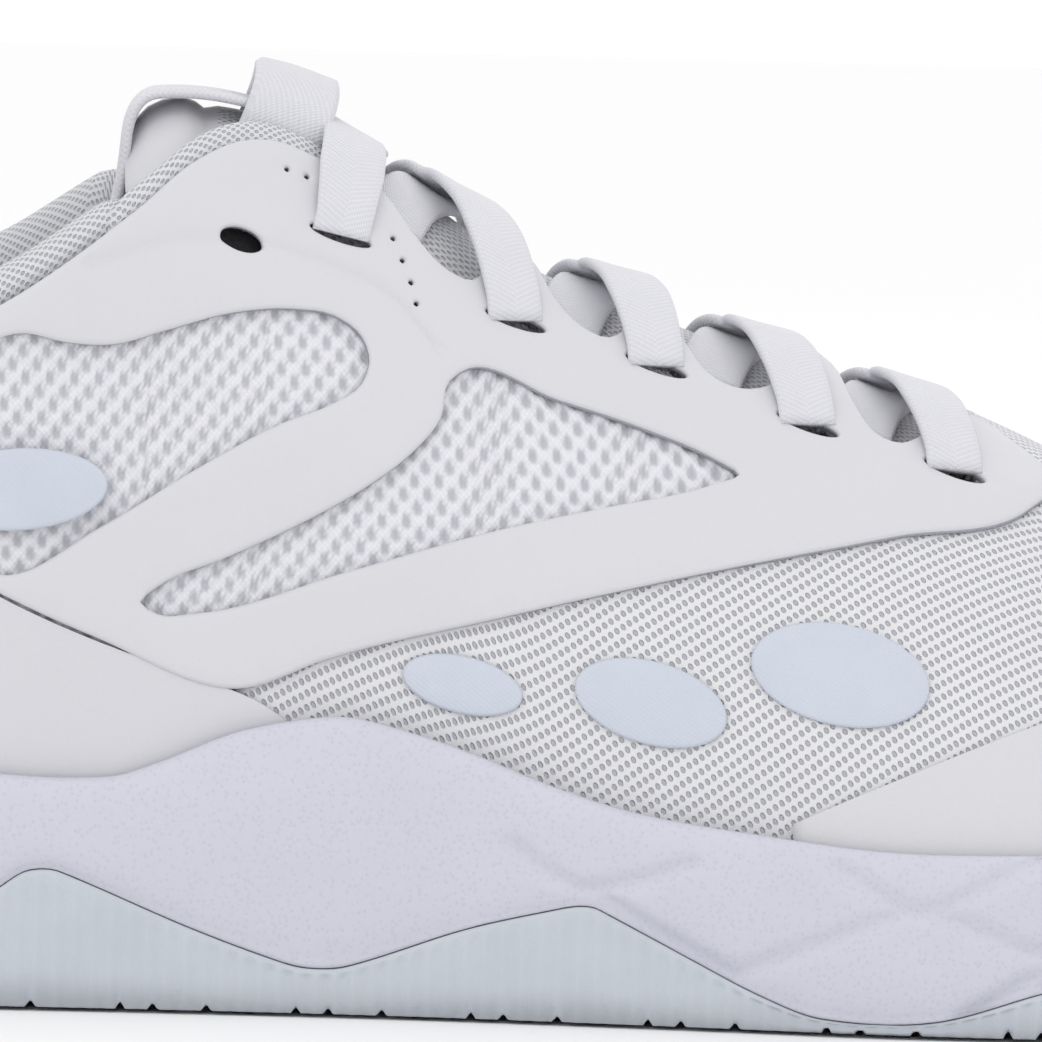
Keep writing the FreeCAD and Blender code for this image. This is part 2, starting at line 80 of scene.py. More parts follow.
def smooth(table, x, flat_ends=False):
    """A smooth curve through the table's points, for one value or an array of them."""
    xs = np.array([p[0] for p in table], float)
    ys = np.array([p[1] for p in table], float)
    slope = np.empty_like(ys)
    slope[1:-1] = (ys[2:] - ys[:-2]) / (xs[2:] - xs[:-2])
    slope[0] = 0 if flat_ends else (ys[1] - ys[0]) / (xs[1] - xs[0])
    slope[-1] = 0 if flat_ends else (ys[-1] - ys[-2]) / (xs[-1] - xs[-2])
    x = np.clip(np.asarray(x, float), xs[0], xs[-1])
    i = np.clip(np.searchsorted(xs, x, side="right") - 1, 0, len(xs) - 2)
    step = xs[i + 1] - xs[i]
    t = (x - xs[i]) / step
    return ((1 + 2 * t) * (1 - t) ** 2 * ys[i] + t * (1 - t) ** 2 * step * slope[i]
            + t * t * (3 - 2 * t) * ys[i + 1] + t * t * (t - 1) * step * slope[i + 1])


def half_width(side, x):
    return np.where(side < 0, smooth(HALF_WIDTH[LATERAL], x, True), smooth(HALF_WIDTH[MEDIAL], x, True))


def station(side, a):
    """The feather edge's x and y, and the ridge's x, at distance a along a side from heel to toe."""
    side, a = np.broadcast_arrays(np.asarray(side, float), np.asarray(a, float))
    heel_turn = np.clip((HEEL_FAN_X - a) / HEEL_ARC, 0, 1.2) * math.pi / 2
    toe_turn = np.clip((a - TOE_FAN_X) / TOE_ARC, 0, 1.2) * math.pi / 2
    heel_out = HEEL_REACH * np.sin(heel_turn)
    toe_out = TOE_REACH * np.sin(toe_turn)
    in_heel, in_toe = a < HEEL_FAN_X, a > TOE_FAN_X
    bx = np.where(in_heel, HEEL_FAN_X - heel_out, np.where(in_toe, TOE_FAN_X + toe_out, a))
    flank = side * half_width(side, np.clip(a, HEEL_FAN_X, TOE_FAN_X))
    by = np.where(in_heel, side * HEEL_HALF * np.cos(heel_turn),
                  np.where(in_toe, TOE_Y + (flank - TOE_Y) * np.cos(toe_turn), flank))
    heel_shift = np.where(in_heel, heel_out ** 2 * HEEL_RIDGE_PULL / HEEL_REACH, 0)
    toe_shift = np.where(in_toe, toe_out ** 2 * TOE_RIDGE_PULL / TOE_REACH, 0)
    return bx, by, bx + heel_shift - toe_shift


def skin(side, a, theta):
    """Points of the surface: theta runs from the feather edge, 0, to the ridge, half a right turn."""
    bx, by, rx = station(side, a)
    bz, rz, ry = smooth(FEATHER, bx), smooth(RIDGE, rx), smooth(RIDGE_Y, rx)
    fall = (smooth(RIDGE, rx + 1) - smooth(RIDGE, rx - 1)) / 2
    cosine = np.cos(theta)
    inward = np.sign(cosine) * np.abs(cosine) ** smooth(FULLNESS, rx)
    up = np.sin(theta)
    x = rx + (bx - rx) * inward
    return np.stack([x, ry + (by - ry) * inward, bz + (rz - bz) * up + fall * (x - rx) * up], -1)


def skin_normal(side, a, theta):
    """The surface's outward direction, turned upright close to the ridge so that the two sides meet."""
    theta_in = np.minimum(theta, math.radians(89))
    da, dt = 0.5, 0.01
    along = skin(side, a + da, theta_in) - skin(side, a - da, theta_in)
    across = skin(side, a, theta_in + dt) - skin(side, a, theta_in - dt)
    normal = np.cross(along, across) * -np.asarray(side, float)[..., None]
    normal /= np.linalg.norm(normal, axis=-1, keepdims=True)
    crest = np.clip((np.asarray(theta) - math.radians(90 - CREST)) / math.radians(CREST), 0, 1)
    normal[..., 1] *= 1 - crest
    return normal / np.linalg.norm(normal, axis=-1, keepdims=True)


def layer(side, a, theta, distance):
    """The surface's points moved outward along its normal."""
    side, a, theta, distance = np.broadcast_arrays(np.asarray(side, float), a, theta, distance)
    return skin(side, a, theta) + skin_normal(side, a, theta) * distance[..., None]


def theta_at(side, a, z):
    """The angle at which the surface reaches a height."""
    bx, _, rx = station(side, a)
    bz, rz = smooth(FEATHER, bx), smooth(RIDGE, rx)
    fall = (smooth(RIDGE, rx + 1) - smooth(RIDGE, rx - 1)) / 2
    theta = np.zeros(np.broadcast(bx, z).shape)
    for _ in range(6):
        inward = np.abs(np.cos(theta)) ** smooth(FULLNESS, rx)
        sine = (z - bz) / (rz - bz + fall * (bx - rx) * inward)
        theta = np.arcsin(np.clip(sine, 0, 1))
    return theta


# ---------------------------------------------------------------- charts: flat maps of the surface
def over_chart(points):
    """(a, turn): turn is degrees from the ridge, negative on the lateral side, so panels may cross."""
    a, turn = points[:, 0], points[:, 1]
    return np.where(turn < 0, -1.0, 1.0), a, np.radians(90 - np.abs(turn))


def to_over(side, outline):
    """Turns an outline in a and height into the over chart."""
    a = np.array([p[0] for p in outline], float)
    z = np.array([p[1] for p in outline], float)
    return np.stack([a, side * (90 - np.degrees(theta_at(side, a, z)))], 1)


def rounded(outline, step=1.0, closed=True):
    """A smooth line through an outline's points."""
    pts = np.asarray(outline, float)
    n = len(pts)
    out = []
    for i in range(n if closed else n - 1):
        p1, p2 = pts[i], pts[(i + 1) % n]
        length = np.linalg.norm(p2 - p1)
        before = pts[i - 1] if closed or i > 0 else p1
        after = pts[(i + 2) % n] if closed or i + 2 < n else p2

        def tangent(prev, here, nxt):
            low, high = np.linalg.norm(here - prev), np.linalg.norm(nxt - here)
            if low < 1e-6 or high < 1e-6:
                return nxt - prev
            slope = ((here - prev) / low * high + (nxt - here) / high * low) / (low + high)
            return slope * length

        m1 = tangent(before, p1, p2)
        m2 = tangent(p1, p2, after)
        count = max(2, int(round(length / step)))
        for k in range(count):
            t = k / count
            out.append((1 + 2 * t) * (1 - t) ** 2 * p1 + t * (1 - t) ** 2 * m1
                       + t * t * (3 - 2 * t) * p2 + t * t * (t - 1) * m2)
    if not closed:
        out.append(pts[-1])
    return np.array(out)


def inside(points, polygon):
    """Which points lie in a polygon."""
    x, y = points[:, 0], points[:, 1]
    hit = np.zeros(len(points), bool)
    px, py = polygon[:, 0], polygon[:, 1]
    qx, qy = np.roll(px, -1), np.roll(py, -1)
    for x0, y0, x1, y1 in zip(px, py, qx, qy):
        if y0 == y1:
            continue
        crosses = ((y0 > y) != (y1 > y)) & (x < (x1 - x0) * (y - y0) / (y1 - y0) + x0)
        hit ^= crosses
    return hit


def distance_to(points, line, closed=False):
    """How far each point is from a line of points."""
    line = np.asarray(line, float)
    ends = np.roll(line, -1, 0) if closed else line[1:]
    starts = line if closed else line[:-1]
    best = np.full(len(points), 1e9)
    for p, q in zip(starts, ends):
        d = q - p
        t = np.clip(((points - p) @ d) / max(d @ d, 1e-12), 0, 1)
        best = np.minimum(best, np.linalg.norm(points - (p + t[:, None] * d), axis=1))
    return best


def triangulate(outline, holes=(), lines=(), grid=2.0):
    """Fills an outline, less its holes, with triangles. lines are extra lines that edges must follow."""
    clear = grid * 0.45
    low, high = outline.min(0), outline.max(0)
    rows = np.arange(low[1], high[1], grid)
    cols = np.arange(low[0], high[0], grid)
    lattice = np.array([(c + (grid / 2 if r % 2 else 0), v) for r, v in enumerate(rows) for c in cols])
    keep = inside(lattice, outline)
    keep &= distance_to(lattice, outline, True) > clear
    for hole in holes:
        keep &= ~inside(lattice, hole)
        keep &= distance_to(lattice, hole, True) > clear
    for line in lines:
        keep &= distance_to(lattice, line) > clear
    lattice = lattice[keep]
    verts, edges = [], []
    for loop in [outline, *holes]:
        base = len(verts)
        verts += [Vector(p) for p in loop]
        edges += [(base + k, base + (k + 1) % len(loop)) for k in range(len(loop))]
    for line in lines:
        base = len(verts)
        verts += [Vector(p) for p in line]
        edges += [(base + k, base + k + 1) for k in range(len(line) - 1)]
    verts += [Vector(p) for p in lattice]
    out_verts, _, faces, *_ = delaunay_2d_cdt(verts, edges, [], 0, 1e-5)
    points = np.array([tuple(v) for v in out_verts])
    faces = np.array([f for f in faces if len(f) == 3])
    middle = points[faces].mean(1)
    good = inside(middle, outline)
    for hole in holes:
        good &= ~inside(middle, hole)
    faces = faces[good]
    spread = points[faces]
    area = np.cross(spread[:, 1] - spread[:, 0], spread[:, 2] - spread[:, 0])
    faces[area < 0] = faces[area < 0][:, ::-1]
    used = np.unique(faces)
    remap = np.full(len(points), -1)
    remap[used] = np.arange(len(used))
    return points[used], remap[faces]


# ---------------------------------------------------------------- meshes
def make(name, verts, faces, material, chart, edge_faces=None, weld=True):
    """An object from points in mm. chart is each vertex's texture place, in mm; edge_faces take slot 2."""
    mesh = bpy.data.meshes.new(name)
    mesh.from_pydata([tuple(v) for v in np.asarray(verts) * MM], [], [list(map(int, f)) for f in faces])
    place = mesh.attributes.new("chart", "FLOAT_VECTOR", "POINT")
    flat = np.zeros((len(verts), 3), np.float32)
    flat[:, :chart.shape[1]] = chart
    place.data.foreach_set("vector", flat.ravel())
    materials = material if isinstance(material, (list, tuple)) else [material]
    for item in materials:
        mesh.materials.append(item)
    if edge_faces is not None and len(materials) > 1:
        index = np.zeros(len(faces), np.int32)
        index[edge_faces] = 1
        mesh.polygons.foreach_set("material_index", index)
    if weld:
        work = bmesh.new()
        work.from_mesh(mesh)
        bmesh.ops.remove_doubles(work, verts=work.verts, dist=1e-6)
        bmesh.ops.dissolve_degenerate(work, dist=1e-7, edges=work.edges)
        bmesh.ops.recalc_face_normals(work, faces=work.faces)
        work.to_mesh(mesh)
        work.free()
    for polygon in mesh.polygons:
        polygon.use_smooth = True
    mesh.update()
    obj = bpy.data.objects.new(name, mesh)
    bpy.context.collection.objects.link(obj)
    return obj


def open_edges(faces):
    """Directed edges that only one face uses."""
    edges = {}
    for f in faces:
        for k in range(len(f)):
            edges[(int(f[k]), int(f[(k + 1) % len(f)]))] = True
    return [e for e in edges if (e[1], e[0]) not in edges]


def closed_solid(name, top, bottom, faces, material, chart):
    """A solid from a skin's outer and inner points, walled along its open edges."""
    count = len(top)
    faces = [tuple(map(int, f)) for f in faces]
    key = {}
    remap = np.arange(count)
    for i, p in enumerate(np.round(top, 2)):
        remap[i] = key.setdefault(tuple(p), i)
    faces = [tuple(dict.fromkeys(int(remap[v]) for v in f)) for f in faces]
    faces = [f for f in faces if len(f) > 2]
    rim = open_edges(faces)
    walls = [(b, a, a + count, b + count) for a, b in rim]
    all_faces = faces + [tuple(v + count for v in reversed(f)) for f in faces] + walls
    edge_faces = np.arange(len(all_faces) - len(walls), len(all_faces))
    verts = np.concatenate([top, bottom])
    return make(name, verts, all_faces, material, np.concatenate([chart, chart]), edge_faces)


def rim_drop(edge, radius):
    """How far a surface falls near its rim, for a quarter-round edge."""
    t = 1 - np.clip(edge / radius, 0, 1)
    return radius * (1 - np.sqrt(np.clip(1 - t * t, 0, 1)))


def inset(outline, amount):
    """The outline moved to its inside, or outside for a negative amount."""
    before, after = np.roll(outline, 1, 0), np.roll(outline, -1, 0)
    direction = after - before
    direction /= np.maximum(np.linalg.norm(direction, axis=1, keepdims=True), 1e-9)
    area = np.sum(outline[:, 0] * after[:, 1] - after[:, 0] * outline[:, 1])
    normal = np.stack([-direction[:, 1], direction[:, 0]], 1) * (1 if area > 0 else -1)
    return outline + normal * amount


def closed_line(line):
    """The line with its first point again at its end."""
    return np.concatenate([line, line[:1]])


def arc_chart(side, a, theta):
    """Texture places in mm: along the shoe and up its side."""
    bx, _, rx = station(side, a)
    girth = smooth(RIDGE, rx) - smooth(FEATHER, bx) + 12
    return np.stack([a, (math.pi / 2 - theta) * girth * 0.72 * side], -1)


def cut_panel(name, outline, depths, material, holes=(), grid=2.0, edge=0.45, relief=None, lines=()):
    """A sheet cut to an outline in the over chart, with holes, laid on the surface between two distances."""
    extra = [closed_line(inset(outline, edge * f)) for f in (0.3, 1.0)]
    for hole in holes:
        extra += [closed_line(inset(hole, -edge * f)) for f in (0.3, 1.0)]
    points, faces = triangulate(outline, holes, [*extra, *lines], grid)
    side, a, theta = over_chart(points)
    to_edge = distance_to(points, outline, True)
    for hole in holes:
        to_edge = np.minimum(to_edge, distance_to(points, hole, True))
    outer = depths[1] - rim_drop(to_edge, edge)
    if relief is not None:
        outer = outer + relief(points)
    top = layer(side, a, theta, outer)
    bottom = layer(side, a, theta, np.full(len(points), depths[0]))
    return closed_solid(name, top, bottom, faces, material, arc_chart(side, a, theta))


def grid_faces(rows, columns, keep=None):
    """The squares of a grid of points, all of them or those marked to keep."""
    faces = []
    for i in range(rows - 1):
        for j in range(columns - 1):
            if keep is None or keep[i, j]:
                k = i * columns + j
                faces.append((k, k + 1, k + columns + 1, k + columns))
    return faces


def grid_solid(name, outer, inner, material, chart, keep=None):
    """A solid between two grids of points."""
    rows, columns = outer.shape[:2]
    faces = grid_faces(rows, columns, keep)
    return closed_solid(name, outer.reshape(-1, 3), inner.reshape(-1, 3), faces, material,
                        chart.reshape(-1, chart.shape[-1]))


def loft(name, rings, material, chart, cap=True):
    """A tube through closed rings of points, with flat ends unless they meet."""
    rows, columns = rings.shape[:2]
    faces = []
    for i in range(rows - 1):
        for j in range(columns):
            k, after = i * columns + j, i * columns + (j + 1) % columns
            faces.append((k, after, after + columns, k + columns))
    if cap:
        faces += [tuple(range(columns))[::-1], tuple((rows - 1) * columns + j for j in range(columns))]
    return make(name, rings.reshape(-1, 3), faces, material, chart.reshape(-1, chart.shape[-1]))


def oval(x, z, length, height, tilt, count=28):
    """An oval outline in side view."""
    turn = np.linspace(0, 2 * math.pi, count, endpoint=False)
    u, w = length / 2 * np.cos(turn), height / 2 * np.sin(turn)
    lean = math.radians(tilt)
    return np.stack([x + u * math.cos(lean) - w * math.sin(lean),
                     z + u * math.sin(lean) + w * math.cos(lean)], 1)


# ---------------------------------------------------------------- materials
def srgb(r, g, b):
    """A colour given as 0 to 255, as the shader wants it."""
    values = [v / 255 for v in (r, g, b)]
    return (*[v / 12.92 if v < 0.04045 else ((v + 0.055) / 1.055) ** 2.4 for v in values], 1)


class Nodes:
    """A material's node tree, with short ways to add to it."""

    def __init__(self, name, roughness=0.6, sheen=0.0, coat=0.0):
        self.material = bpy.data.materials.new(name)
        self.material.use_nodes = True
        self.tree = self.material.node_tree
        self.shader = self.tree.nodes["Principled BSDF"]
        self.shader.inputs["Roughness"].default_value = roughness
        self.shader.inputs["Specular IOR Level"].default_value = 0.4
        if sheen:
            self.shader.inputs["Sheen Weight"].default_value = sheen
            self.shader.inputs["Sheen Roughness"].default_value = 0.5
        if coat:
            self.shader.inputs["Coat Weight"].default_value = coat
            self.shader.inputs["Coat Roughness"].default_value = 0.25

    def add(self, kind, **values):
        node = self.tree.nodes.new(kind)
        for key, value in values.items():
            if key in node.inputs:
                node.inputs[key].default_value = value
            else:
                setattr(node, key, value)
        return node

    def link(self, source, target):
        self.tree.links.new(source, target)

    def math(self, operation, first, second=None):
        node = self.add("ShaderNodeMath", operation=operation)
        for slot, value in enumerate((first, second)):
            if value is None:
                continue
            if isinstance(value, (int, float)):
                node.inputs[slot].default_value = value
            else:
                self.link(value, node.inputs[slot])
        return node.outputs[0]

    def place(self, source="chart"):
        """Texture coordinates in mm: the piece's own chart, or its place in the frame."""
        if source == "chart":
            return self.add("ShaderNodeAttribute", attribute_name="chart").outputs["Vector"]
        scale = self.add("ShaderNodeVectorMath", operation="SCALE")
        self.link(self.add("ShaderNodeTexCoord").outputs["Object"], scale.inputs[0])
        scale.inputs["Scale"].default_value = 1000
        return scale.outputs[0]

    def turned(self, place, degrees, scale=(1, 1, 1)):
        node = self.add("ShaderNodeMapping")
        node.inputs["Rotation"].default_value = (0, 0, math.radians(degrees))
        node.inputs["Scale"].default_value = scale
        self.link(place, node.inputs["Vector"])
        return node.outputs[0]

    def noise(self, place, size, detail=2.0):
        node = self.add("ShaderNodeTexNoise", Scale=1 / size, Detail=detail)
        self.link(place, node.inputs["Vector"])
        return node.outputs["Fac"]

    def lattice(self, place, pitch):
        """Distance from the nearest point of a square lattice: 0 at a point, about 0.7 between four."""
        node = self.add("ShaderNodeTexVoronoi", Scale=1 / pitch, Randomness=0.0)
        node.voronoi_dimensions = "2D"
        self.link(place, node.inputs["Vector"])
        return node.outputs["Distance"]

    def ramp(self, value, low, high, first=0.0, last=1.0):
        node = self.add("ShaderNodeMapRange")
        node.interpolation_type = "SMOOTHSTEP"
        self.link(value, node.inputs[0])
        for slot, number in zip((1, 2, 3, 4), (low, high, first, last)):
            node.inputs[slot].default_value = number
        return node.outputs[0]

    def mix(self, factor, first, second):
        """Blends two colours, each a value or another node's output."""
        node = self.add("ShaderNodeMix", data_type="RGBA")
        self.link(factor, node.inputs[0])
        for slot, value in ((6, first), (7, second)):
            if isinstance(value, tuple):
                node.inputs[slot].default_value = value
            else:
                self.link(value, node.inputs[slot])
        return node.outputs[2]

    def bump(self, height, depth, below=None):
        """Adds relief: depth is in mm."""
        node = self.add("ShaderNodeBump", Strength=1.0, Distance=depth * MM)
        self.link(height, node.inputs["Height"])
        if below is not None:
            self.link(below, node.inputs["Normal"])
        return node.outputs[0]

    def finish(self, colour=None, normal=None, roughness=None):
        for value, socket in ((colour, "Base Color"), (normal, "Normal"), (roughness, "Roughness")):
            if value is not None:
                self.link(value, self.shader.inputs[socket])
        return self.material


def fine_mesh_material(name, light, dark, pitch=1.5):
    """Close fabric with rows of tiny round holes."""
    n = Nodes(name, 0.8, sheen=0.15)
    place = n.place()
    wobble = n.noise(place, 9.0)
    holes = n.lattice(n.turned(place, 45), pitch * 0.71)
    open_hole = n.ramp(holes, 0.18, 0.36)
    threads = n.noise(n.turned(place, 30, (3, 0.8, 1)), 0.6)
    shade = n.mix(wobble, light, tuple(v * 0.94 for v in light[:3]) + (1,))
    colour = n.mix(open_hole, dark, shade)
    relief = n.bump(open_hole, 0.22)
    return n.finish(colour, n.bump(threads, 0.05, below=relief))


def knit_material():
    """Coarse knit: fine rows of loops, with painted shade in its hollows, which are part of its shape."""
    n = Nodes("coarse_knit_yarn", 0.8, sheen=0.2)
    place = n.place()
    hollow = n.add("ShaderNodeAttribute", attribute_name="hollow").outputs["Fac"]
    loops = n.lattice(n.turned(place, 45, (1.0, 0.8, 1)), 0.5)
    tone = n.mix(n.noise(place, 5.0), srgb(233, 233, 236), srgb(224, 224, 229))
    yarn = n.mix(n.ramp(loops, 0.1, 0.55), tone, srgb(222, 222, 228))
    # painted shade: the hollow attribute darkens the yarn colour in the knit's hollows
    colour = n.mix(n.ramp(hollow, 0.25, 1.0), yarn, srgb(184, 185, 192))
    return n.finish(colour, n.bump(loops, -0.1))


def overlay_material(name, light):
    """Smooth coated synthetic with a faint grain."""
    n = Nodes(name, 0.5, coat=0.06)
    place = n.place("frame")
    grain = n.noise(place, 0.5, 4)
    clouds = n.noise(place, 16.0)
    colour = n.mix(clouds, light, tuple(v * 0.97 for v in light[:3]) + (1,))
    rough = n.ramp(n.noise(place, 3.0), 0.3, 0.7, 0.44, 0.56)
    return n.finish(colour, n.bump(grain, 0.035), rough)


def lace_material():
    """Flat woven tape: slanted fine ribs that meet along its middle."""
    n = Nodes("lace_weave", 0.75, sheen=0.2)
    place = n.place()
    split = n.add("ShaderNodeSeparateXYZ")
    n.link(place, split.inputs[0])
    along, across = split.outputs[0], split.outputs[1]
    slant = n.math("ADD", along, n.math("MULTIPLY", n.math("ABSOLUTE", across), 0.8))
    ribs = n.math("SINE", n.math("MULTIPLY", slant, 2 * math.pi / 0.7))
    columns = n.math("SINE", n.math("MULTIPLY", across, 2 * math.pi / 0.55))
    weave = n.ramp(n.math("MULTIPLY", ribs, columns), -1, 1)
    tone = n.mix(n.noise(place, 6.0), srgb(226, 226, 230), srgb(217, 217, 223))
    colour = n.mix(weave, n.mix(n.noise(place, 2.0), srgb(212, 212, 218), srgb(206, 206, 214)), tone)
    return n.finish(colour, n.bump(weave, 0.06))


def midsole_material():
    """Moulded foam: a soft skin with tiny cells and a little lavender in its white."""
    n = Nodes("midsole_skin", 0.58)
    place = n.place("frame")
    cells = n.add("ShaderNodeTexVoronoi", Scale=1 / 0.7)
    n.link(place, cells.inputs["Vector"])
    tone = n.mix(n.noise(place, 12.0), srgb(206, 206, 218), srgb(200, 200, 212))
    colour = n.mix(n.ramp(cells.outputs["Distance"], 0.0, 0.5), srgb(194, 194, 206), tone)
    return n.finish(colour, n.bump(cells.outputs["Distance"], 0.03))


def rubber_material():
    """Pale rubber with a fine matt bloom, darker towards the ground."""
    n = Nodes("outsole_rubber_skin", 0.62)
    place = n.place("frame")
    split = n.add("ShaderNodeSeparateXYZ")
    n.link(place, split.inputs[0])
    low = n.ramp(split.outputs[2], 0.0, 5.0)
    tone = n.mix(n.noise(place, 7.0), srgb(198, 204, 210), srgb(188, 194, 202))
    colour = n.mix(low, srgb(178, 183, 190), tone)
    speckle = n.noise(place, 0.35, 3)
    return n.finish(colour, n.bump(speckle, 0.05), n.ramp(speckle, 0.3, 0.7, 0.55, 0.7))


def film_material():
    """Thin pale film with a fine ribbed sheen."""
    n = Nodes("pale_film_skin", 0.38, coat=0.1)
    place = n.place("frame")
    lines = n.add("ShaderNodeTexWave", Scale=0.9, Distortion=0.4)
    lines.bands_direction = "DIAGONAL"
    n.link(place, lines.inputs["Vector"])
    tone = n.mix(n.noise(place, 8.0), srgb(202, 208, 219), srgb(193, 200, 212))
    return n.finish(tone, n.bump(lines.outputs["Fac"], 0.02))


def plain_material(name, first, second, size, depth, roughness=0.7, coat=0.0):
    """A moulded or felted surface: two close tones and a grain of one size."""
    n = Nodes(name, roughness, coat=coat)
    place = n.place("frame")
    grain = n.noise(place, size, 4)
    return n.finish(n.mix(n.ramp(grain, 0.3, 0.7), first, second), n.bump(grain, depth))


OVERLAY_LOOK = overlay_material("overlay_skin", srgb(211, 211, 215))
HEEL_LOOK = overlay_material("heel_skin", srgb(209, 209, 214))
CUT_EDGE = plain_material("cut_edge", srgb(178, 179, 186), srgb(166, 167, 175), 0.4, 0.03)
FINE_MESH = fine_mesh_material("fine_mesh_cloth", srgb(224, 224, 227), srgb(176, 177, 184))
LINING = fine_mesh_material("lining_cloth", srgb(214, 215, 219), srgb(176, 178, 185), 1.15)
KNIT = knit_material()
LACE = lace_material()
MIDSOLE = midsole_material()
RUBBER = rubber_material()
FILM = film_material()
# painted shade: a near-black colour for the sheet under the top eyelet
EYELET_SHADE = plain_material("eyelet_painted_shade", srgb(38, 38, 42), srgb(26, 26, 30), 0.5, 0.05)
STIFF = plain_material("stiffener_felt", srgb(214, 212, 206), srgb(198, 196, 190), 0.6, 0.1, 0.85)
BOARD_LOOK = plain_material("board_fibre", srgb(206, 200, 188), srgb(190, 184, 172), 0.8, 0.1, 0.9)
FOAM_LOOK = plain_material("padding_foam", srgb(232, 228, 214), srgb(218, 214, 200), 0.9, 0.15, 0.9)
TIP = plain_material("aglet_plastic_skin", srgb(228, 230, 234), srgb(218, 220, 226), 2.0, 0.02, 0.25, 0.3)

# ---------------------------------------------------------------- where things are, in mm
MESH, OVERLAY, BAND, PATCH, HIGH_PATCH = (-1.6, -0.1), (0.1, 1.2), (0.1, 0.7), (0.1, 0.6), (1.25, 1.75)
TONGUE, TONGUE_SKIN = (-9.2, -3.6), (-10.4, -9.5)
# the last pair gives the depths of the dark sheet of painted shade under the top eyelet
SHADE_SHEET_DEPTHS = (-1.75, -1.62)
HEEL_TUCK, QUARTER_TUCK, TOP_GAP = 7, 2.2, 0.4
THROAT_X, THROAT_COVER, VAMP_TUCK = 46.0, 4.0, 6.5
SOLE_PROUD, WALL_RUBBER, TREAD, LIP = 4.0, 2.5, 5.0, 1.5
VAMP_LINE = [(-49, 36), (-44.5, 39.5), (-20, 47), (8, 53), (32, 58), (46, 61)]
EYESTAY = [(-45.7, 105.2), (-40.2, 103.2), (-34.5, 100.8), (-31.5, 98.6), (-27.4, 93.4), (-23.7, 89.8),
           (-20.8, 88.7), (-18.2, 90.4), (-15.5, 92.2), (-13.0, 90.6), (-10.3, 86.5), (-6.7, 83.0), (-3.4, 81.8),
           (-0.6, 83.4), (1.8, 85.2), (3.8, 84.2), (6.1, 81.3), (9.2, 77.5), (12.9, 75.9), (16.5, 76.2),
           (19.5, 78.4), (22.6, 79.8), (25, 78.4), (27.5, 74.0), (29.9, 70.7), (33, 69.6), (36, 70.6),
           (39, 72.4), (43, 72.2)]
CAGE_TOP = [(-118, 76), (-112, 79), (-95, 78.5), (-78, 85.7), (-70.7, 90.6), (-62, 97.3), (-54.8, 103.2),
            (-50, 105.2)]
CAGE_OUTLINE = [*CAGE_TOP, *EYESTAY, (47.5, 69.5), (50.8, 67.0), (52.3, 64.8), (49, 62.2), (32, 59.1),
                (7, 54.2), (-17, 48.5), (-38, 43), (-47.5, 39.4), (-66, 45.2), (-78, 50.4), (-95, 60),
                (-108, 70)]
UPPER_WINDOW = [(-107, 74), (-95, 75.5), (-84, 79), (-75.6, 82), (-70.7, 81), (-64.6, 80.8), (-58.5, 82.5),
                (-50, 84.8), (-42.6, 85.3), (-37.8, 84.6), (-34.1, 81.9), (-33.2, 78.9), (-34.1, 76.4),
                (-37.8, 73.9), (-43.9, 71.5), (-53.6, 66.2), (-65.8, 58.6), (-78, 52.6), (-84, 55.2), (-95, 62)]
LOWER_WINDOW = [(-21.9, 77.9), (-9.7, 74.6), (1.3, 71.2), (9.5, 67.9), (12.6, 66.0), (9.5, 64.9), (-4.8, 61.8),
                (-17, 59.1), (-35.3, 53.8), (-53.6, 48.4), (-58.5, 48.2), (-60.6, 49.6), (-58.5, 51.5),
                (-50, 55.3), (-41.4, 59.4), (-32.9, 64.3), (-28, 68), (-24.3, 72.4), (-23.3, 76.8)]
HEEL_SEAM = [(-148, 73), (-130, 75), (-108, 69.6), (-95, 59.6), (-78, 50.0), (-66, 44.8), (-48.5, 38.9),
             (-44.5, 37), (-40, 33.6)]
TOE_GUARD_TOP = [(19.5, 25), (28, 28.9), (44, 35.6), (60, 41), (80, 44), (100, 42), (120, 37), (145, 33)]
MIDSOLE_TOP = [(-145, 33), (-110, 31.5), (-78, 28.5), (-64, 28.4), (-57.3, 30.5), (-49, 34), (-41.4, 35.8),
               (-35, 36.4), (-29.2, 35.3), (-20, 32.6), (-9.7, 28.8), (1, 25.8), (17, 23.6), (32, 22.2),
               (49, 22.3), (80, 22.5), (115, 26), (145, 33)]
ZIGZAG = [(-145, 20), (-124, 10.5), (-104, 6), (-90, 9.5), (-78, 14), (-74.3, 16.4), (-71.9, 16.9), (-69.7, 16.6),
          (-53.6, 10.1), (-42, 6.1), (-38.5, 5.5), (-34, 5.9), (-19.5, 10.9), (-9, 13.6), (-6, 14.2), (-4, 14.1),
          (-2, 13.2), (7.4, 8.5), (17, 3.9), (24, 1.6), (37, 1.6), (50, 5.5), (64, 9.5),
          (79, 5.2), (92, 3.5), (106, 8.5), (120, 16), (145, 26)]
GROUND = [(-145, 4), (-128, 0.8), (-116, 0), (62, 0), (90, 1.5), (118, 6), (145, 13)]
SIDE_OVALS = [(-76, 63, 22, 10, 4), (-21, 40.5, 15, 7, -12), (2, 39, 19, 10, -14), (25, 43, 22, 12, -10)]
LOW_OVALS = 60
SLOTS = [(39.7, 66.4), (21.4, 71.7), (2.5, 78.5), (-15.2, 83.8), (-37.1, 94.0)]
SLOT_SIZE = (8.0, 1.6)
TOP_EYELET = (-49.3, 93.5, 5.5, 2.7, -20)
LACE_WIDTH, LACE_THICK, LACE_STEP, EDGE_TURN = 7.3, 1.3, 7.5, 25.0
ROW_WIDTH = 8.6
SLOT_TILT = -18
KEEPER_START, KEEPER_END_TURN = -33.8, 8.0
TONGUE_FRONT, TONGUE_REAR, TONGUE_TURN_X = 44.0, -61.0, -38.0
TONGUE_RIM_X = -52.0
TONGUE_LIFT = [(-61, 2.2), (-55, 3.6), (-46, 2.6), (-38, 0)]
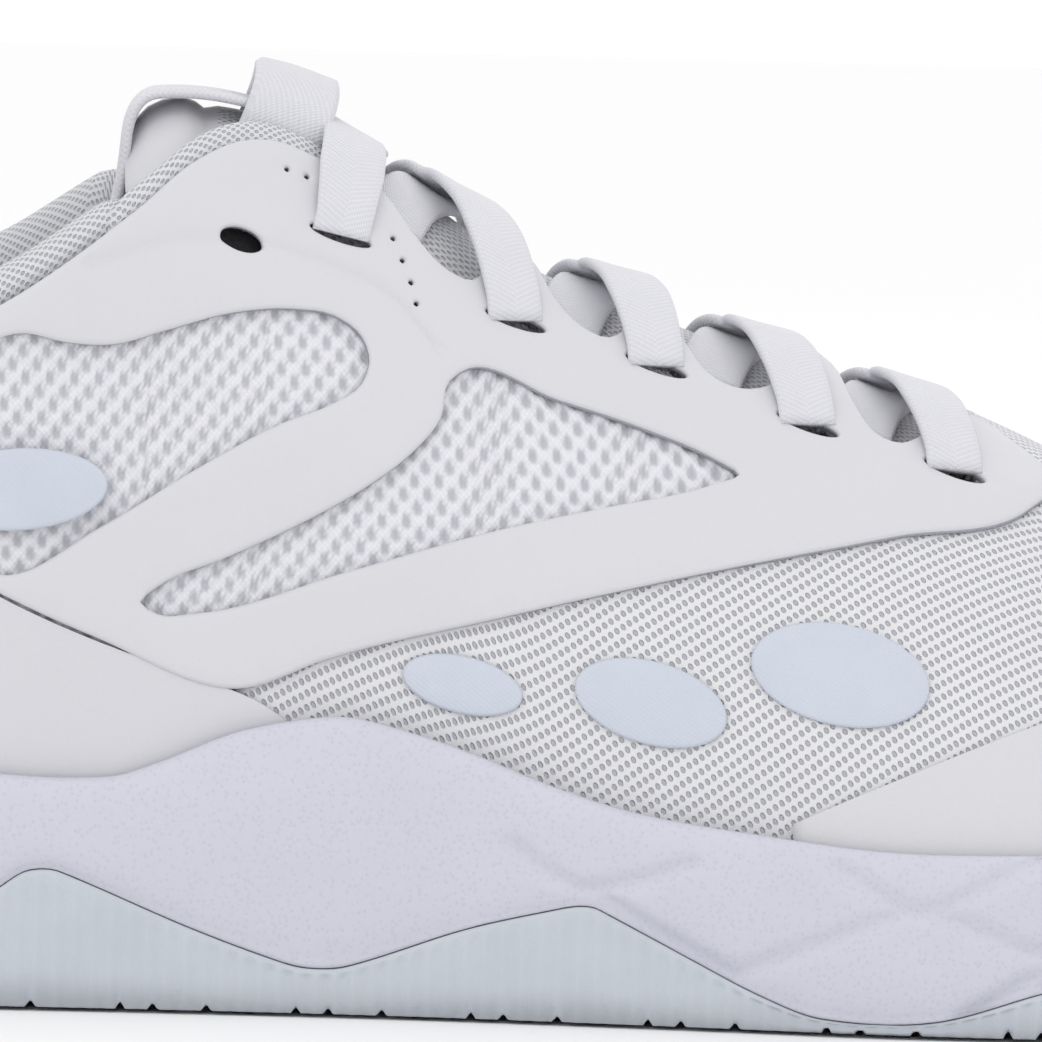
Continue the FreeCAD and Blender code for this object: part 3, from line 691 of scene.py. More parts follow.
TONGUE_LOW = [(-61, 64), (-54, 54), (-38, 48), (0, 53), (44, 62)]
KEEPER_X, KEEPER_RISE, KEEPER_TURN, KEEPER_THICK = (-49.0, -38.5), 6.0, 18.0, 1.3
END_ROUTE = [(-38.7, 107.6), (-48, 110.2), (-56, 111.3), (-63, 110.6), (-63.8, 99), (-67, 88), (-67, 80)]
END_SPACING, END_MIDDLE = 4.1, 0.6
WORDS = {LATERAL: "lateral", MEDIAL: "medial"}


def both_ends(front_a, step):
    """Places from the lateral side round the heel to the medial one: arrays of side and a."""
    a = np.linspace(front_a, A_HEEL, int((front_a - A_HEEL) / step) + 1)
    return np.concatenate([-np.ones(len(a)), np.ones(len(a) - 1)]), np.concatenate([a, a[-2::-1]])


def round_toe(rear_a, step):
    """Places from the lateral side round the toe to the medial one."""
    a = np.linspace(rear_a, A_TOE, int((A_TOE - rear_a) / step) + 1)
    return np.concatenate([-np.ones(len(a)), np.ones(len(a) - 1)]), np.concatenate([a, a[-2::-1]])


def wrapped_band(name, places, high, material, rows):
    """An overlay along a run of places, from the feather edge up to an angle."""
    side, a = places
    near_rim = 1 - np.array([0.12, 0.4, 1.0]) * 0.6 / 30.0
    f = np.unique(np.round(np.concatenate([np.linspace(0, 1, rows), near_rim]), 5))
    theta = high(side, a)[:, None] * f
    side, a = np.broadcast_to(side[:, None], theta.shape), np.broadcast_to(a[:, None], theta.shape)
    place = arc_chart(side, a, theta)
    outer = layer(side, a, theta, np.full(theta.shape, BAND[1]))
    inner = layer(side, a, theta, np.full(theta.shape, BAND[0]))
    return grid_solid(name, outer, inner, material, place)


def at_height(table):
    """A rim's angle, from a table of its height along the shoe's side."""
    return lambda side, a: theta_at(side, a, smooth(table, a))


# ---------------------------------------------------------------- upper
def make_vamp():
    """The fine mesh over the front of the foot, one cloth from the throat to the sole and round the toe."""
    rows = np.concatenate([np.arange(-49, 44, 1.8), np.arange(44, 96, 1.3), np.linspace(96, A_TOE, 40)])
    turns = np.linspace(-90, 90, 121)
    a, turn = np.meshgrid(rows, turns, indexing="ij")
    side = np.where(turn < 0, -1.0, 1.0)
    theta = np.radians(90 - np.abs(turn))
    height = skin(side, a, theta)[..., 2]
    under_edge = smooth(VAMP_LINE, a) + VAMP_TUCK
    keep_point = (height < under_edge) | (a > THROAT_X - THROAT_COVER)
    keep = keep_point[:-1, :-1] & keep_point[1:, :-1] & keep_point[:-1, 1:] & keep_point[1:, 1:]
    outer = layer(side, a, theta, np.full(a.shape, MESH[1]))
    inner = layer(side, a, theta, np.full(a.shape, MESH[0]))
    vamp = grid_solid("vamp_cloth", outer, inner, [FINE_MESH, LINING], arc_chart(side, a, theta), keep)
    drop_loose(vamp)
    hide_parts("vamp_rear", "vamp_crease", "toe_box")
    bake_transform(vamp)


def drop_loose(obj):
    """Removes points that no face uses."""
    work = bmesh.new()
    work.from_mesh(obj.data)
    bmesh.ops.delete(work, geom=[v for v in work.verts if not v.link_faces], context="VERTS")
    work.to_mesh(obj.data)
    work.free()


def make_quarter(side):
    """The coarse knit under the windows: its drop-shaped hollows are real relief."""
    a_line = np.concatenate([np.linspace(A_HEEL, -112, 64)[:-1],
                             np.arange(-112, 16, 0.5), np.arange(16, THROAT_X + 0.5, 1.0)])
    f = np.linspace(0, 1, 96)
    low_z = np.where(a_line < -60, smooth(HEEL_SEAM, a_line) - HEEL_TUCK,
                     smooth(VAMP_LINE, a_line) + QUARTER_TUCK)
    low_z = np.maximum(low_z, smooth(FEATHER, a_line) + 1)
    top_z = smooth(QUARTER_TOP, a_line) - TOP_GAP
    top_z = np.where(a_line > -112, np.minimum(top_z, smooth(CAGE_TOP, a_line) - TOP_GAP), top_z)
    top_z = np.where(a_line > EYESTAY[0][0], smooth(EYESTAY, a_line) - TOP_GAP, top_z)
    high = theta_at(side, a_line, top_z)
    low = theta_at(side, a_line, low_z)
    theta = low[:, None] + (high - low)[:, None] * f
    a = np.broadcast_to(a_line[:, None], theta.shape)
    z = skin(side, a, theta)[..., 2]
    hollow = knit_hollows(a, z)
    outer = layer(side, a, theta, MESH[1] - HOLLOW_DEPTH * hollow + RIDGE_RISE * knit_ridges(a, z))
    inner = layer(side, a, theta, np.full(theta.shape, MESH[0]))
    flat = np.stack([a.ravel(), z.ravel()], 1)
    gone = np.zeros(len(flat), bool)
    for x, z_slot in SLOTS:
        gone |= inside(flat, oval(x, z_slot, SLOT_SIZE[0] + 1, SLOT_SIZE[1] + 1, SLOT_TILT))
    x, z_slot, length, tall, tilt = TOP_EYELET
    gone |= inside(flat, oval(x, z_slot, length + 1, tall + 1, tilt))
    gone = gone.reshape(a.shape)
    keep = ~(gone[:-1, :-1] | gone[1:, :-1] | gone[:-1, 1:] | gone[1:, 1:])
    knit = grid_solid("quarter_knit_" + WORDS[side], outer, inner, [KNIT, LINING],
                      np.stack([a, z], -1), keep)
    # the hollow attribute is the mask of the painted shade in the knit's hollows
    places = np.zeros(len(knit.data.vertices) * 3, np.float32)
    knit.data.attributes["chart"].data.foreach_get("vector", places)
    places = places.reshape(-1, 3)
    values = knit_hollows(places[:, 0], places[:, 1]).astype(np.float32)
    attribute = knit.data.attributes.new("hollow", "FLOAT", "POINT")
    attribute.data.foreach_set("value", values)
    drop_loose(knit)
    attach(knit, "rear")
    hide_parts("quarter_" + WORDS[side])


KNIT_PITCH = (3.0, 3.3)
HOLLOW_DEPTH, RIDGE_RISE = 0.6, 0.1


def knit_hollows(x, z):
    """Drop-shaped hollows in staggered rows: 1 at a hollow's middle."""
    lean = x + 0.12 * z
    row = np.floor(z / (KNIT_PITCH[1] / 2))
    best = np.zeros(np.shape(x))
    for shift in (-1, 0, 1):
        here = row + shift
        v = (z - (here + 0.5) * KNIT_PITCH[1] / 2) / 1.25
        offset = np.where(here % 2 == 0, 0.0, KNIT_PITCH[0] / 2)
        u = (np.mod(lean - offset + KNIT_PITCH[0] / 2, KNIT_PITCH[0]) - KNIT_PITCH[0] / 2) / (0.72 - 0.22 * v)
        best = np.maximum(best, np.exp(-(u * u + v * v) ** 1.6))
    return best


def knit_ridges(x, z):
    """Fine upright ribs between the hollows."""
    return np.cos(2 * math.pi * (x + 0.12 * z) / (KNIT_PITCH[0] / 2)) * 0.5


EMBOSS_DEPTH, EMBOSS_WIDTH = 0.45, 0.55
PINHOLES = [(-43.9, 101.8), (-41.4, 100.9), (-30.6, 93.6), (-29.4, 91.0), (-28.3, 88.4), (-27.6, 85.9)]
EMBOSSED = [(-67.5, 90.2), (-57, 93.4), (-47.5, 93.2), (-38, 90.6), (-30, 86.6), (-25.5, 81.5)]


def make_cage(side):
    """The smooth overlay, cut away in two windows, with its slots and the small holes by the eyelet."""
    holes = [rounded(UPPER_WINDOW, step=1.2), rounded(LOWER_WINDOW, step=1.2)]
    holes += [oval(x, z, *SLOT_SIZE, SLOT_TILT) for x, z in SLOTS] + [oval(*TOP_EYELET)]
    holes += [oval(x, z, 0.6, 0.6, 0, 10) for x, z in PINHOLES]
    outline = to_over(side, rounded(CAGE_OUTLINE, step=1.2))
    holes = [to_over(side, hole) for hole in holes]
    embossed = to_over(side, rounded(EMBOSSED, step=1.0, closed=False))
    lines = [embossed] + [offset_line(embossed, d) for d in (-0.9, -0.4, 0.4, 0.9)]

    def relief(points):
        return -EMBOSS_DEPTH * np.exp(-(distance_to(points, embossed) / EMBOSS_WIDTH) ** 2)

    cage = cut_panel("cage_" + WORDS[side] + "_skin", outline, OVERLAY, [OVERLAY_LOOK, CUT_EDGE], holes,
                     grid=1.8, edge=0.45, relief=relief, lines=lines)
    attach(cage, "rear")
    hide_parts("cage_" + WORDS[side])
    # a dark sheet under the top eyelet: painted shade, standing for the shade seen through the eyelet
    x, z, length, height, tilt = TOP_EYELET
    shade_outline = to_over(side, oval(x, z, length + 2.4, height + 2.4, tilt))
    dark = cut_panel("eyelet_backing_" + WORDS[side], shade_outline, SHADE_SHEET_DEPTHS, [EYELET_SHADE, EYELET_SHADE], grid=1.0, edge=0.05)
    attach(dark, "rear")


def offset_line(line, amount):
    """A line beside another, to its left for a positive amount."""
    direction = np.gradient(line, axis=0)
    direction /= np.linalg.norm(direction, axis=1, keepdims=True)
    return line + np.stack([-direction[:, 1], direction[:, 0]], 1) * amount


def make_ovals(side):
    """The pale film ovals, as one piece: the low ones lie on the mesh, the high one over the cage."""
    parts = []
    for x, z, length, height, tilt in SIDE_OVALS:
        outline = to_over(side, oval(x, z, length, height, tilt, 48))
        depths = PATCH if z < LOW_OVALS else HIGH_PATCH
        part = cut_panel("part", outline, depths, [FILM, CUT_EDGE], grid=1.6, edge=0.35)
        parts.append(part)
    joined = join("side_ovals_" + WORDS[side] + "_film", parts)
    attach(joined, "rear")
    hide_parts("side_ovals_" + WORDS[side])


def join(name, objects):
    """One object from several, keeping their materials in order."""
    verts, faces, chart, index = [], [], [], []
    materials = list(objects[0].data.materials)
    for obj in objects:
        base = len(verts)
        verts += [tuple(v.co / MM) for v in obj.data.vertices]
        places = obj.data.attributes["chart"].data
        chart += [tuple(p.vector) for p in places]
        for polygon in obj.data.polygons:
            faces.append([base + v for v in polygon.vertices])
            index.append(polygon.material_index)
        bpy.data.objects.remove(obj)
    edge_faces = np.flatnonzero(np.array(index) == 1)
    return make(name, np.array(verts), faces, materials, np.array(chart), edge_faces, weld=False)


def make_heel_panel():
    places = both_ends(-40.5, 1.5)
    panel = wrapped_band("heel_panel_skin", places, at_height(HEEL_SEAM), [HEEL_LOOK, CUT_EDGE], 16)
    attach(panel, "rear")
    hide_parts("heel_panel")


def make_toe_guard():
    def rim(side, a):
        return theta_at(side, a, smooth(TOE_GUARD_TOP, station(side, a)[0]))

    guard = wrapped_band("toe_guard_skin", round_toe(19.6, 1.6), rim, [OVERLAY_LOOK, CUT_EDGE], 12)
    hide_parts("toe_guard_rear", "toe_guard_front")
    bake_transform(guard)


COLLAR_RING = [(-1.75, -22), (-1.72, -16), (-1.7, -9), (-1.6, -5.5), (-1.1, -3.2), (-0.5, -1.2), (-0.7, 0.5),
               (-1.7, 1.9), (-3.2, 2.6), (-4.8, 2.7), (-6.4, 2.0), (-7.9, 0.7), (-9.0, -1.0), (-9.9, -4),
               (-10.3, -9), (-10.1, -15), (-9.4, -20), (-8.3, -23), (-6.0, -24), (-3.5, -23.6)]
BINDING_RING = [(-1.5, -3.0), (-0.9, -2.0), (0.1, -0.6), (0.35, 0.9), (0.1, 2.3), (-0.9, 3.1), (-2.0, 2.6),
                (-2.6, 1.2), (-2.7, -0.6), (-2.5, -2.0), (-2.1, -2.9)]
FOAM_RING = [(-2.4, -21), (-2.4, -9), (-2.5, -1.4), (-3.6, 0.7), (-4.8, 1.2), (-6.2, 0.7), (-8.2, -1.6),
             (-9.2, -9), (-8.7, -19), (-6.0, -22.6)]


MEDIAL_RISE, MEDIAL_RISE_RUN = 2.0, 40


def collar_ring(ring, side, here, size, edge_z):
    """One section of a roll along the collar: ring is distance and height from the edge line."""
    centre = ring.mean(0)
    local = centre + (ring - centre) * (size, 0.25 + 0.75 * size)
    z = edge_z + local[:, 1]
    theta = np.minimum(theta_at(side, here, z), math.radians(88))
    point = layer(side, np.full(len(z), here), theta, local[:, 0])
    around = np.concatenate([[0], np.cumsum(np.linalg.norm(np.diff(point, axis=0), axis=1))])
    return point, np.stack([np.full(len(z), (here - A_HEEL) * side), around], 1)


def end_size(reach, length):
    """How full a roll is at a distance from its closed end."""
    t = min(max(reach / length, 0.0), 1.0)
    return math.sqrt(max(1 - (1 - t) ** 2, 0.02))


def collar_piece(name, ring, material, front_a, ends):
    """The padded roll round the collar, a little higher on the medial side."""
    ring = rounded(ring, step=1.0)
    rings, chart = [], []
    for side, here in zip(*both_ends(front_a, 1.6)):
        edge_z = smooth(QUARTER_TOP, here)
        if side == MEDIAL:
            edge_z = edge_z + MEDIAL_RISE * min((here - A_HEEL) / MEDIAL_RISE_RUN, 1)
        point, place = collar_ring(ring, side, here, end_size(front_a - here, ends), edge_z)
        rings.append(point)
        chart.append(place)
    return loft(name, np.array(rings), material, np.array(chart))


BINDING_REACH = (-66.0, -37.5)


def make_binding(side):
    """The slim padded roll that carries the collar on along the overlay's top edge to the eyestay."""
    ring = rounded(BINDING_RING, step=0.6)
    line = np.linspace(*BINDING_REACH, 30)
    edge = [*CAGE_TOP, *EYESTAY[:4]]
    rings, chart = [], []
    for here in line:
        size = min(end_size(here - BINDING_REACH[0], 3.0), end_size(BINDING_REACH[1] - here, 3.0))
        point, place = collar_ring(ring, side, here, size, float(smooth(edge, here)))
        rings.append(point)
        chart.append(place)
    binding = loft("collar_binding_" + WORDS[side], np.array(rings), LINING, np.array(chart))
    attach(binding, "rear")


def make_collar():
    lining = collar_piece("collar_cloth", COLLAR_RING, LINING, -60.5, 5.0)
    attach(lining, "rear")
    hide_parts("collar_lining")
    foam = collar_piece("collar_padding", FOAM_RING, FOAM_LOOK, -62.5, 5.0)
    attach(foam, "rear")
    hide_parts("collar_foam")
    for side in (LATERAL, MEDIAL):
        make_binding(side)


# ---------------------------------------------------------------- tongue
def tongue_point(x, turn, distance):
    """Points of the tongue, where distance runs along its own fan of directions."""
    x, turn, distance = np.broadcast_arrays(np.asarray(x, float), turn, distance)
    side = np.where(turn < 0, -1.0, 1.0)
    here = np.maximum(x, TONGUE_TURN_X)
    fall = (smooth(RIDGE, here + 1) - smooth(RIDGE, here - 1)) / 2
    lean = np.radians(turn * 1.3)
    outward = np.stack([-fall * np.cos(lean), np.sin(lean), np.cos(lean)], -1)
    outward /= np.linalg.norm(outward, axis=-1, keepdims=True)
    point = skin(side, here, np.radians(90 - np.abs(turn))) + outward * distance[..., None]
    past = x < TONGUE_TURN_X
    point[..., 0] += np.where(past, x - TONGUE_TURN_X, 0)
    point[..., 2] += np.where(past, smooth(TONGUE_LIFT, x), 0)
    return point


def tongue_strip(name, x_range, reach, low, high, material, columns=41, step=1.5, corner=2.4, end_round=2.0):
    """A closed flat cushion along the tongue. reach is its half width in degrees; low and high its faces."""
    xs = np.linspace(*x_range, int((x_range[1] - x_range[0]) / step) + 1)
    w = np.sin(np.linspace(-1, 1, columns) * math.pi / 2)
    rings, chart = [], []
    for x in xs:
        end = min(x - x_range[0], x_range[1] - x)
        close = math.sqrt(max(0.0, 1 - (1 - min(1.0, end / end_round)) ** 2))
        across = reach(x) * w * (0.94 + 0.06 * close)
        edge = (1 - np.abs(w)) * reach(x) * 0.9
        thin = np.sqrt(np.clip(1 - (1 - np.clip(edge / corner, 0, 1)) ** 2, 0, 1)) * max(close, 0.03)
        middle = (low(x, w) + high(x, w)) / 2
        half = (high(x, w) - low(x, w)) / 2 * thin
        upper = tongue_point(x, across, middle + half)
        lower = tongue_point(x, across, middle - half)
        rings.append(np.concatenate([upper, lower[-2:0:-1]]))
        flat = np.stack([np.full(columns, x), across * 0.95], 1)
        chart.append(np.concatenate([flat, flat[-2:0:-1]]))
    return loft(name, np.array(rings), material, np.array(chart))


def make_tongue():
    """The quilted mesh tongue with a smooth rim along its top, and the cloth behind it."""
    def reach(x):
        return 90 - smooth(TONGUE_LOW, x)

    def crown(x, w):
        quilt = 0.25 * np.cos(math.pi * np.clip(w, -1, 1)) * np.clip((TONGUE_FRONT - x) / 20, 0, 1)
        channel = -0.5 * np.exp(-((x - TONGUE_RIM_X) / 0.8) ** 2)
        rim = np.clip((TONGUE_RIM_X - 0.5 - x) / 3, 0, 1)
        return TONGUE[1] + quilt + channel + rim

    def back(x, w):
        return TONGUE[0] + 0 * w

    tongue = tongue_strip("tongue_cushion", (TONGUE_REAR, TONGUE_FRONT), reach, back, crown,
                          [FINE_MESH, OVERLAY_LOOK], end_round=3.0)
    for polygon in tongue.data.polygons:
        if polygon.center.x < TONGUE_RIM_X * MM:
            polygon.material_index = 1
    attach(tongue, "tongue")
    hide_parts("tongue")
    lining = tongue_strip("tongue_back_cloth", (TONGUE_REAR + 1.5, TONGUE_FRONT - 1), lambda x: reach(x) - 1,
                          lambda x, w: TONGUE_SKIN[0] + 0 * w, lambda x, w: TONGUE_SKIN[1] + 0 * w, LINING,
                          columns=31, step=2.0, corner=1.0, end_round=1.0)
    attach(lining, "tongue")
    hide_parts("tongue_lining")


def make_keeper():
    """The loop across the tongue: its lace ends pass under it."""
    def rise(x, w):
        return TONGUE[1] + 0.3 + KEEPER_RISE * (1 - np.abs(w) ** 6)

    keeper = tongue_strip("lace_keeper_loop", KEEPER_X, lambda x: KEEPER_TURN, rise,
                          lambda x, w: rise(x, w) + KEEPER_THICK, LACE,
                          columns=49, step=0.5, corner=0.01, end_round=0.7)
    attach(keeper, "tongue")
    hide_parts("lace_keeper")


# ---------------------------------------------------------------- laces
TAPE = 0.5 * np.array([(-1, 0), (-0.97, 0.62), (-0.88, 0.95), (-0.6, 1), (0, 0.94), (0.6, 1), (0.88, 0.95),
                       (0.97, 0.62), (1, 0), (0.97, -0.62), (0.88, -0.95), (0.6, -1), (0, -0.94), (-0.6, -1),
                       (-0.88, -0.95), (-0.97, -0.62)])


def tape(middle, across, up, width, thick):
    """Rings of a flat lace along a line, and its texture places."""
    rings = (middle[:, None] + across[:, None] * TAPE[None, :, :1] * width
             + up[:, None] * TAPE[None, :, 1:] * thick)
    run = np.concatenate([[0], np.cumsum(np.linalg.norm(np.diff(middle, axis=0), axis=1))])
    chart = np.stack(np.broadcast_arrays(run[:, None], TAPE[None, :, 0] * LACE_WIDTH), -1)
    return rings, chart


def arch_point(a, turn, distance):
    """A point over the instep, where turn is degrees from the ridge."""
    side = np.where(turn < 0, -1.0, 1.0)
    return layer(side, a, np.radians(90 - np.abs(turn)), distance)


def lace_strip(name, start, finish, height):
    """A flat lace between two places, each x and turn; height is its underside's distance along the way."""
    t = np.linspace(0, 1, 45)
    a = start[0] + (finish[0] - start[0]) * t
    turn = start[1] + (finish[1] - start[1]) * t
    lift = smooth(height, t) + LACE_THICK / 2
    middle = arch_point(a, turn, lift)
    along = np.gradient(middle, axis=0)
    up = arch_point(a, turn, lift + 1) - middle
    across = np.cross(along, up)
    across /= np.linalg.norm(across, axis=1, keepdims=True)
    up = np.cross(across, along)
    up /= np.linalg.norm(up, axis=1, keepdims=True)
    width = np.interp(t, (0.05, 0.25), (LACE_WIDTH, ROW_WIDTH))
    rings, chart = tape(middle, across, up, width[:, None, None], LACE_THICK)
    return loft(name, rings, [LACE, LACE], chart)


def slot_turn(side, x, z):
    """A slot's degrees from the ridge."""
    return side * (90 - math.degrees(float(theta_at(side, x, z))))


OVER_HEIGHT = [(0, 0.2), (0.06, 1.45), (0.26, 1.6), (0.43, 0.3), (0.57, -1.2), (0.69, -1.7), (0.79, -2.0),
               (0.88, -2.8), (0.93, -3.1), (1, -3.2)]
UNDER_HEIGHT = [(0, 0.2), (0.06, 1.45), (0.26, 1.5), (0.35, 0), (0.43, -2), (0.53, -3.1), (1, -3.2)]
LAST_HEIGHT = {LATERAL: [(0, 0.2), (0.08, 1.45), (0.35, 1.3), (0.65, -1.0), (0.85, -1.8), (1, -1.9)],
               MEDIAL: [(0, 0.2), (0.08, 1.45), (0.35, 1.3), (0.65, -2.0), (0.85, -3.3), (1, -3.3)]}


def make_laces():
    """Five pairs: four cross to dive under the far eyestay, and the last runs in to the keeper."""
    for number, (x, z) in enumerate(SLOTS):
        strips = []
        for side, height in ((LATERAL, OVER_HEIGHT), (MEDIAL, UNDER_HEIGHT)):
            start = (x, slot_turn(side, x, z))
            if number == len(SLOTS) - 1:
                finish, height = (KEEPER_START, -side * KEEPER_END_TURN), LAST_HEIGHT[side]
            else:
                finish = (SLOTS[number + 1][0] + LACE_STEP, -side * EDGE_TURN)
            strips.append(lace_strip("part", start, finish, height))
        name = "lace_row_" + str(number + 1)
        row = join(name + "_tape", strips)
        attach(row, "rear")
        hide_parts(name)


def route_points(points, name):
    """Points read from a NURBS spline through a route's control points."""
    data = bpy.data.curves.new(name, "CURVE")
    data.dimensions = "3D"
    data.resolution_u = 12
    spline = data.splines.new("NURBS")
    spline.points.add(len(points) - 1)
    for point, place in zip(spline.points, points):
        point.co = (*[v * MM for v in place], 1)
    spline.order_u = 3
    spline.use_endpoint_u = True
    holder = bpy.data.objects.new(name, data)
    mesh = bpy.data.meshes.new_from_object(holder)
    line = [tuple(v.co) for v in mesh.vertices]
    bpy.data.meshes.remove(mesh)
    bpy.data.objects.remove(holder)
    bpy.data.curves.remove(data)
    return line


def make_lace_end(side):
    """One end of the lace: under the keeper, over the tongue's top and down into the shoe."""
    name = "lace_end_" + WORDS[side]
    y = END_MIDDLE + side * END_SPACING
    line = route_points([(x, y, z) for x, z in END_ROUTE], "route")
    middle = np.array(line) / MM
    along = np.gradient(middle, axis=0)
    across = np.tile((0.0, 1.0, 0.0), (len(middle), 1))
    up = np.cross(across, along)
    up /= np.linalg.norm(up, axis=1, keepdims=True)
    rings, chart = tape(middle, across, up, LACE_WIDTH, LACE_THICK)
    end = loft(name + "_tape", rings, LACE, chart)
    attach(end, "tongue")
    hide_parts(name)


# ---------------------------------------------------------------- sole
def sole_places(step):
    """Distances along each side from heel to toe."""
    return np.linspace(A_HEEL, A_TOE, int((A_TOE - A_HEEL) / step) + 1)


def plan_point(side, a, proud, z):
    """A point standing proud of the feather edge, at a height."""
    x0, y0, _ = station(side, a)
    x1, y1, _ = station(side, a + 0.5)
    x2, y2, _ = station(side, a - 0.5)
    tangent = np.stack([x1 - x2, y1 - y2], -1)
    tangent /= np.linalg.norm(tangent, axis=-1, keepdims=True)
    outward = np.stack([tangent[..., 1], -tangent[..., 0]], -1) * -np.asarray(side, float)[..., None]
    proud = np.asarray(proud, float)
    x = x0 + outward[..., 0] * proud
    y = y0 + outward[..., 1] * proud
    return np.stack(np.broadcast_arrays(x, y, z), -1)


def sole_ring(a, profile, columns):
    """A closed section across the shoe: the profile down each side, joined by rows over and under."""
    halves = {}
    for side in (LATERAL, MEDIAL):
        s = np.full(len(a), float(side))
        halves[side] = np.stack([plan_point(s, a, proud, z) for proud, z in profile(side)], 1)
    lat, med = halves[LATERAL], halves[MEDIAL]
    f = np.linspace(0, 1, columns)[1:-1][None, :, None]
    floor = lat[:, -1:] * (1 - f) + med[:, -1:] * f
    under = med[:, :1] * (1 - f) + lat[:, :1] * f
    return np.concatenate([lat, floor, med[:, ::-1], under], 1)


GROOVES = [
    [(-14.2, 21.8), (-9.7, 18.6), (-5.2, 16.3), (1.9, 17.9), (7.4, 20.1)],
    [(-2.4, 15.3), (4, 11.6), (13.2, 6.8), (23.1, 10.8), (32.5, 14.8), (37.7, 15.7),
     (44.3, 19.4), (49, 21.8)],
    [(25.4, 20.3), (34, 15.3), (39.6, 14.5), (49, 10.5), (60, 12.5), (70, 16)],
    [(40.5, 2.2), (49, 7.7)],
    [(74, 20), (84, 14), (94, 9), (104, 14), (112, 20)],
]
GROOVE_DEPTH, GROOVE_WIDTH = 0.75, 0.9
NOTCH_START, NOTCH_RUN, NOTCH_DEPTH, NOTCH_HALF = -72.9, [11.0, 4.0, 6.6], 1.0, 0.6
RIB_PITCH = 2.3
TREAD_PITCH, TREAD_CUT, TREAD_DEPTH = 11.0, 1.5, 2.0
UNDER_COLUMNS = 45


def make_midsole():
    a = sole_places(0.9)
    x_of = {side: station(np.full(len(a), float(side)), a)[0] for side in (LATERAL, MEDIAL)}

    def profile(side):
        x = x_of[side]
        top, low = smooth(MIDSOLE_TOP, x), smooth(ZIGZAG, x) + 0.15
        floor = smooth(FEATHER, x) - 2.3
        base = smooth(GROUND, x) + TREAD + 0.05
        rows = [(np.full(len(x), SOLE_PROUD - WALL_RUBBER - 0.1), np.minimum(base, low - 0.05)),
                (np.full(len(x), SOLE_PROUD - WALL_RUBBER - 0.1), low - 0.03),
                (np.full(len(x), SOLE_PROUD - 0.7), low)]
        for f in np.concatenate([[0.015, 0.05], np.linspace(0.1, 0.9, 21), [0.94, 0.97]]):
            z = low + (top - low) * f
            crown = SOLE_PROUD - 0.25 - 0.9 * (2 * f - 1) ** 4 + 0.15 * np.sin(math.pi * f)
            place = np.stack([x, z], 1)
            cut = np.zeros(len(x))
            for line in GROOVES:
                cut = np.maximum(cut, np.exp(-(distance_to(place, line) / GROOVE_WIDTH) ** 2))
            rows.append((crown - GROOVE_DEPTH * cut, z))
        rows += [(np.full(len(x), SOLE_PROUD - 1.55), top - 0.12), (np.full(len(x), SOLE_PROUD - 2.0), top),
                 (np.full(len(x), LIP + 0.1), top - 0.35), (np.full(len(x), LIP), top - 1.0),
                 (np.full(len(x), LIP), floor)]
        return rows

    rings = sole_ring(a, profile, 9)
    sole = loft("midsole_foam_block", rings, MIDSOLE, rings[..., :2], cap=False)
    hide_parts("midsole_rear", "midsole_front")
    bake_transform(sole)


def notch_depth(a):
    """Small cuts in the tread's rim, with lugs of three widths by turns."""
    stations = []
    here = NOTCH_START
    while here > A_HEEL:
        here -= NOTCH_RUN[len(stations) % 3]
        stations.append(here)
    here = NOTCH_START
    turn = 0
    while here < A_TOE:
        stations.append(here)
        here += NOTCH_RUN[turn % 3]
        turn += 1
    gap = np.min(np.abs(a[:, None] - np.array(stations)[None]), axis=1)
    return NOTCH_DEPTH * np.clip(1 - gap / NOTCH_HALF, 0, 1) ** 0.6


def make_outsole():
    a = sole_places(0.3)
    x_of = {side: station(np.full(len(a), float(side)), a)[0] for side in (LATERAL, MEDIAL)}
    ribs = 0.5 + 0.5 * np.cos(2 * math.pi * a / RIB_PITCH)
    notch = notch_depth(a)

    def profile(side):
        x = x_of[side]
        ground, top = smooth(GROUND, x), smooth(ZIGZAG, x)
        top = np.maximum(top, ground + 1.4)
        tall = top - ground
        rows = [(np.full(len(x), SOLE_PROUD - 1.6), ground + notch),
                (SOLE_PROUD - 0.75 - 0.2 * ribs, ground + notch + 0.02),
                (SOLE_PROUD - 0.35 - 0.3 * ribs, ground + np.minimum(notch + 0.35, tall * 0.5))]
        deep = 0.32 * np.clip(tall / 4, 0, 1)
        over_notch = np.minimum(notch + 0.4, tall * 0.55)
        for f in (0.3, 0.45, 0.6, 0.75, 0.86):
            rows.append((SOLE_PROUD - 0.08 - deep * ribs, ground + np.maximum(tall * f, over_notch)))
        inner_top = np.minimum(top, ground + TREAD)
        rows += [(np.full(len(x), SOLE_PROUD - 0.1), top - 0.55 * np.clip(tall / 4, 0.2, 1)),
                 (np.full(len(x), SOLE_PROUD - 0.25), top - 0.12), (np.full(len(x), SOLE_PROUD - 0.6), top),
                 (np.full(len(x), SOLE_PROUD - WALL_RUBBER + 0.1), top - 0.05),
                 (np.full(len(x), SOLE_PROUD - WALL_RUBBER), inner_top - 0.1)]
        return rows

    rings = sole_ring(a, profile, UNDER_COLUMNS)
    inner = UNDER_COLUMNS - 2
    under = rings[:, -inner:]
    x, y = under[..., 0], under[..., 1]
    chevron = np.mod((x + 0.55 * np.abs(y - 2)) / TREAD_PITCH, 1.0)
    cut = np.clip((TREAD_CUT - np.abs(chevron - 0.5) * TREAD_PITCH) / 0.8, 0, 1)
    rim = np.minimum(np.arange(inner), np.arange(inner)[::-1])[None, :]
    under[..., 2] += TREAD_DEPTH * cut * np.clip(rim / 2.0, 0, 1)
    rings[..., 2] = np.maximum(rings[..., 2], 0)
    sole = loft("outsole_rubber_cup", rings, RUBBER, rings[..., :2], cap=False)
    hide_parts("outsole_rear", "outsole_front")
    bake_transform(sole)


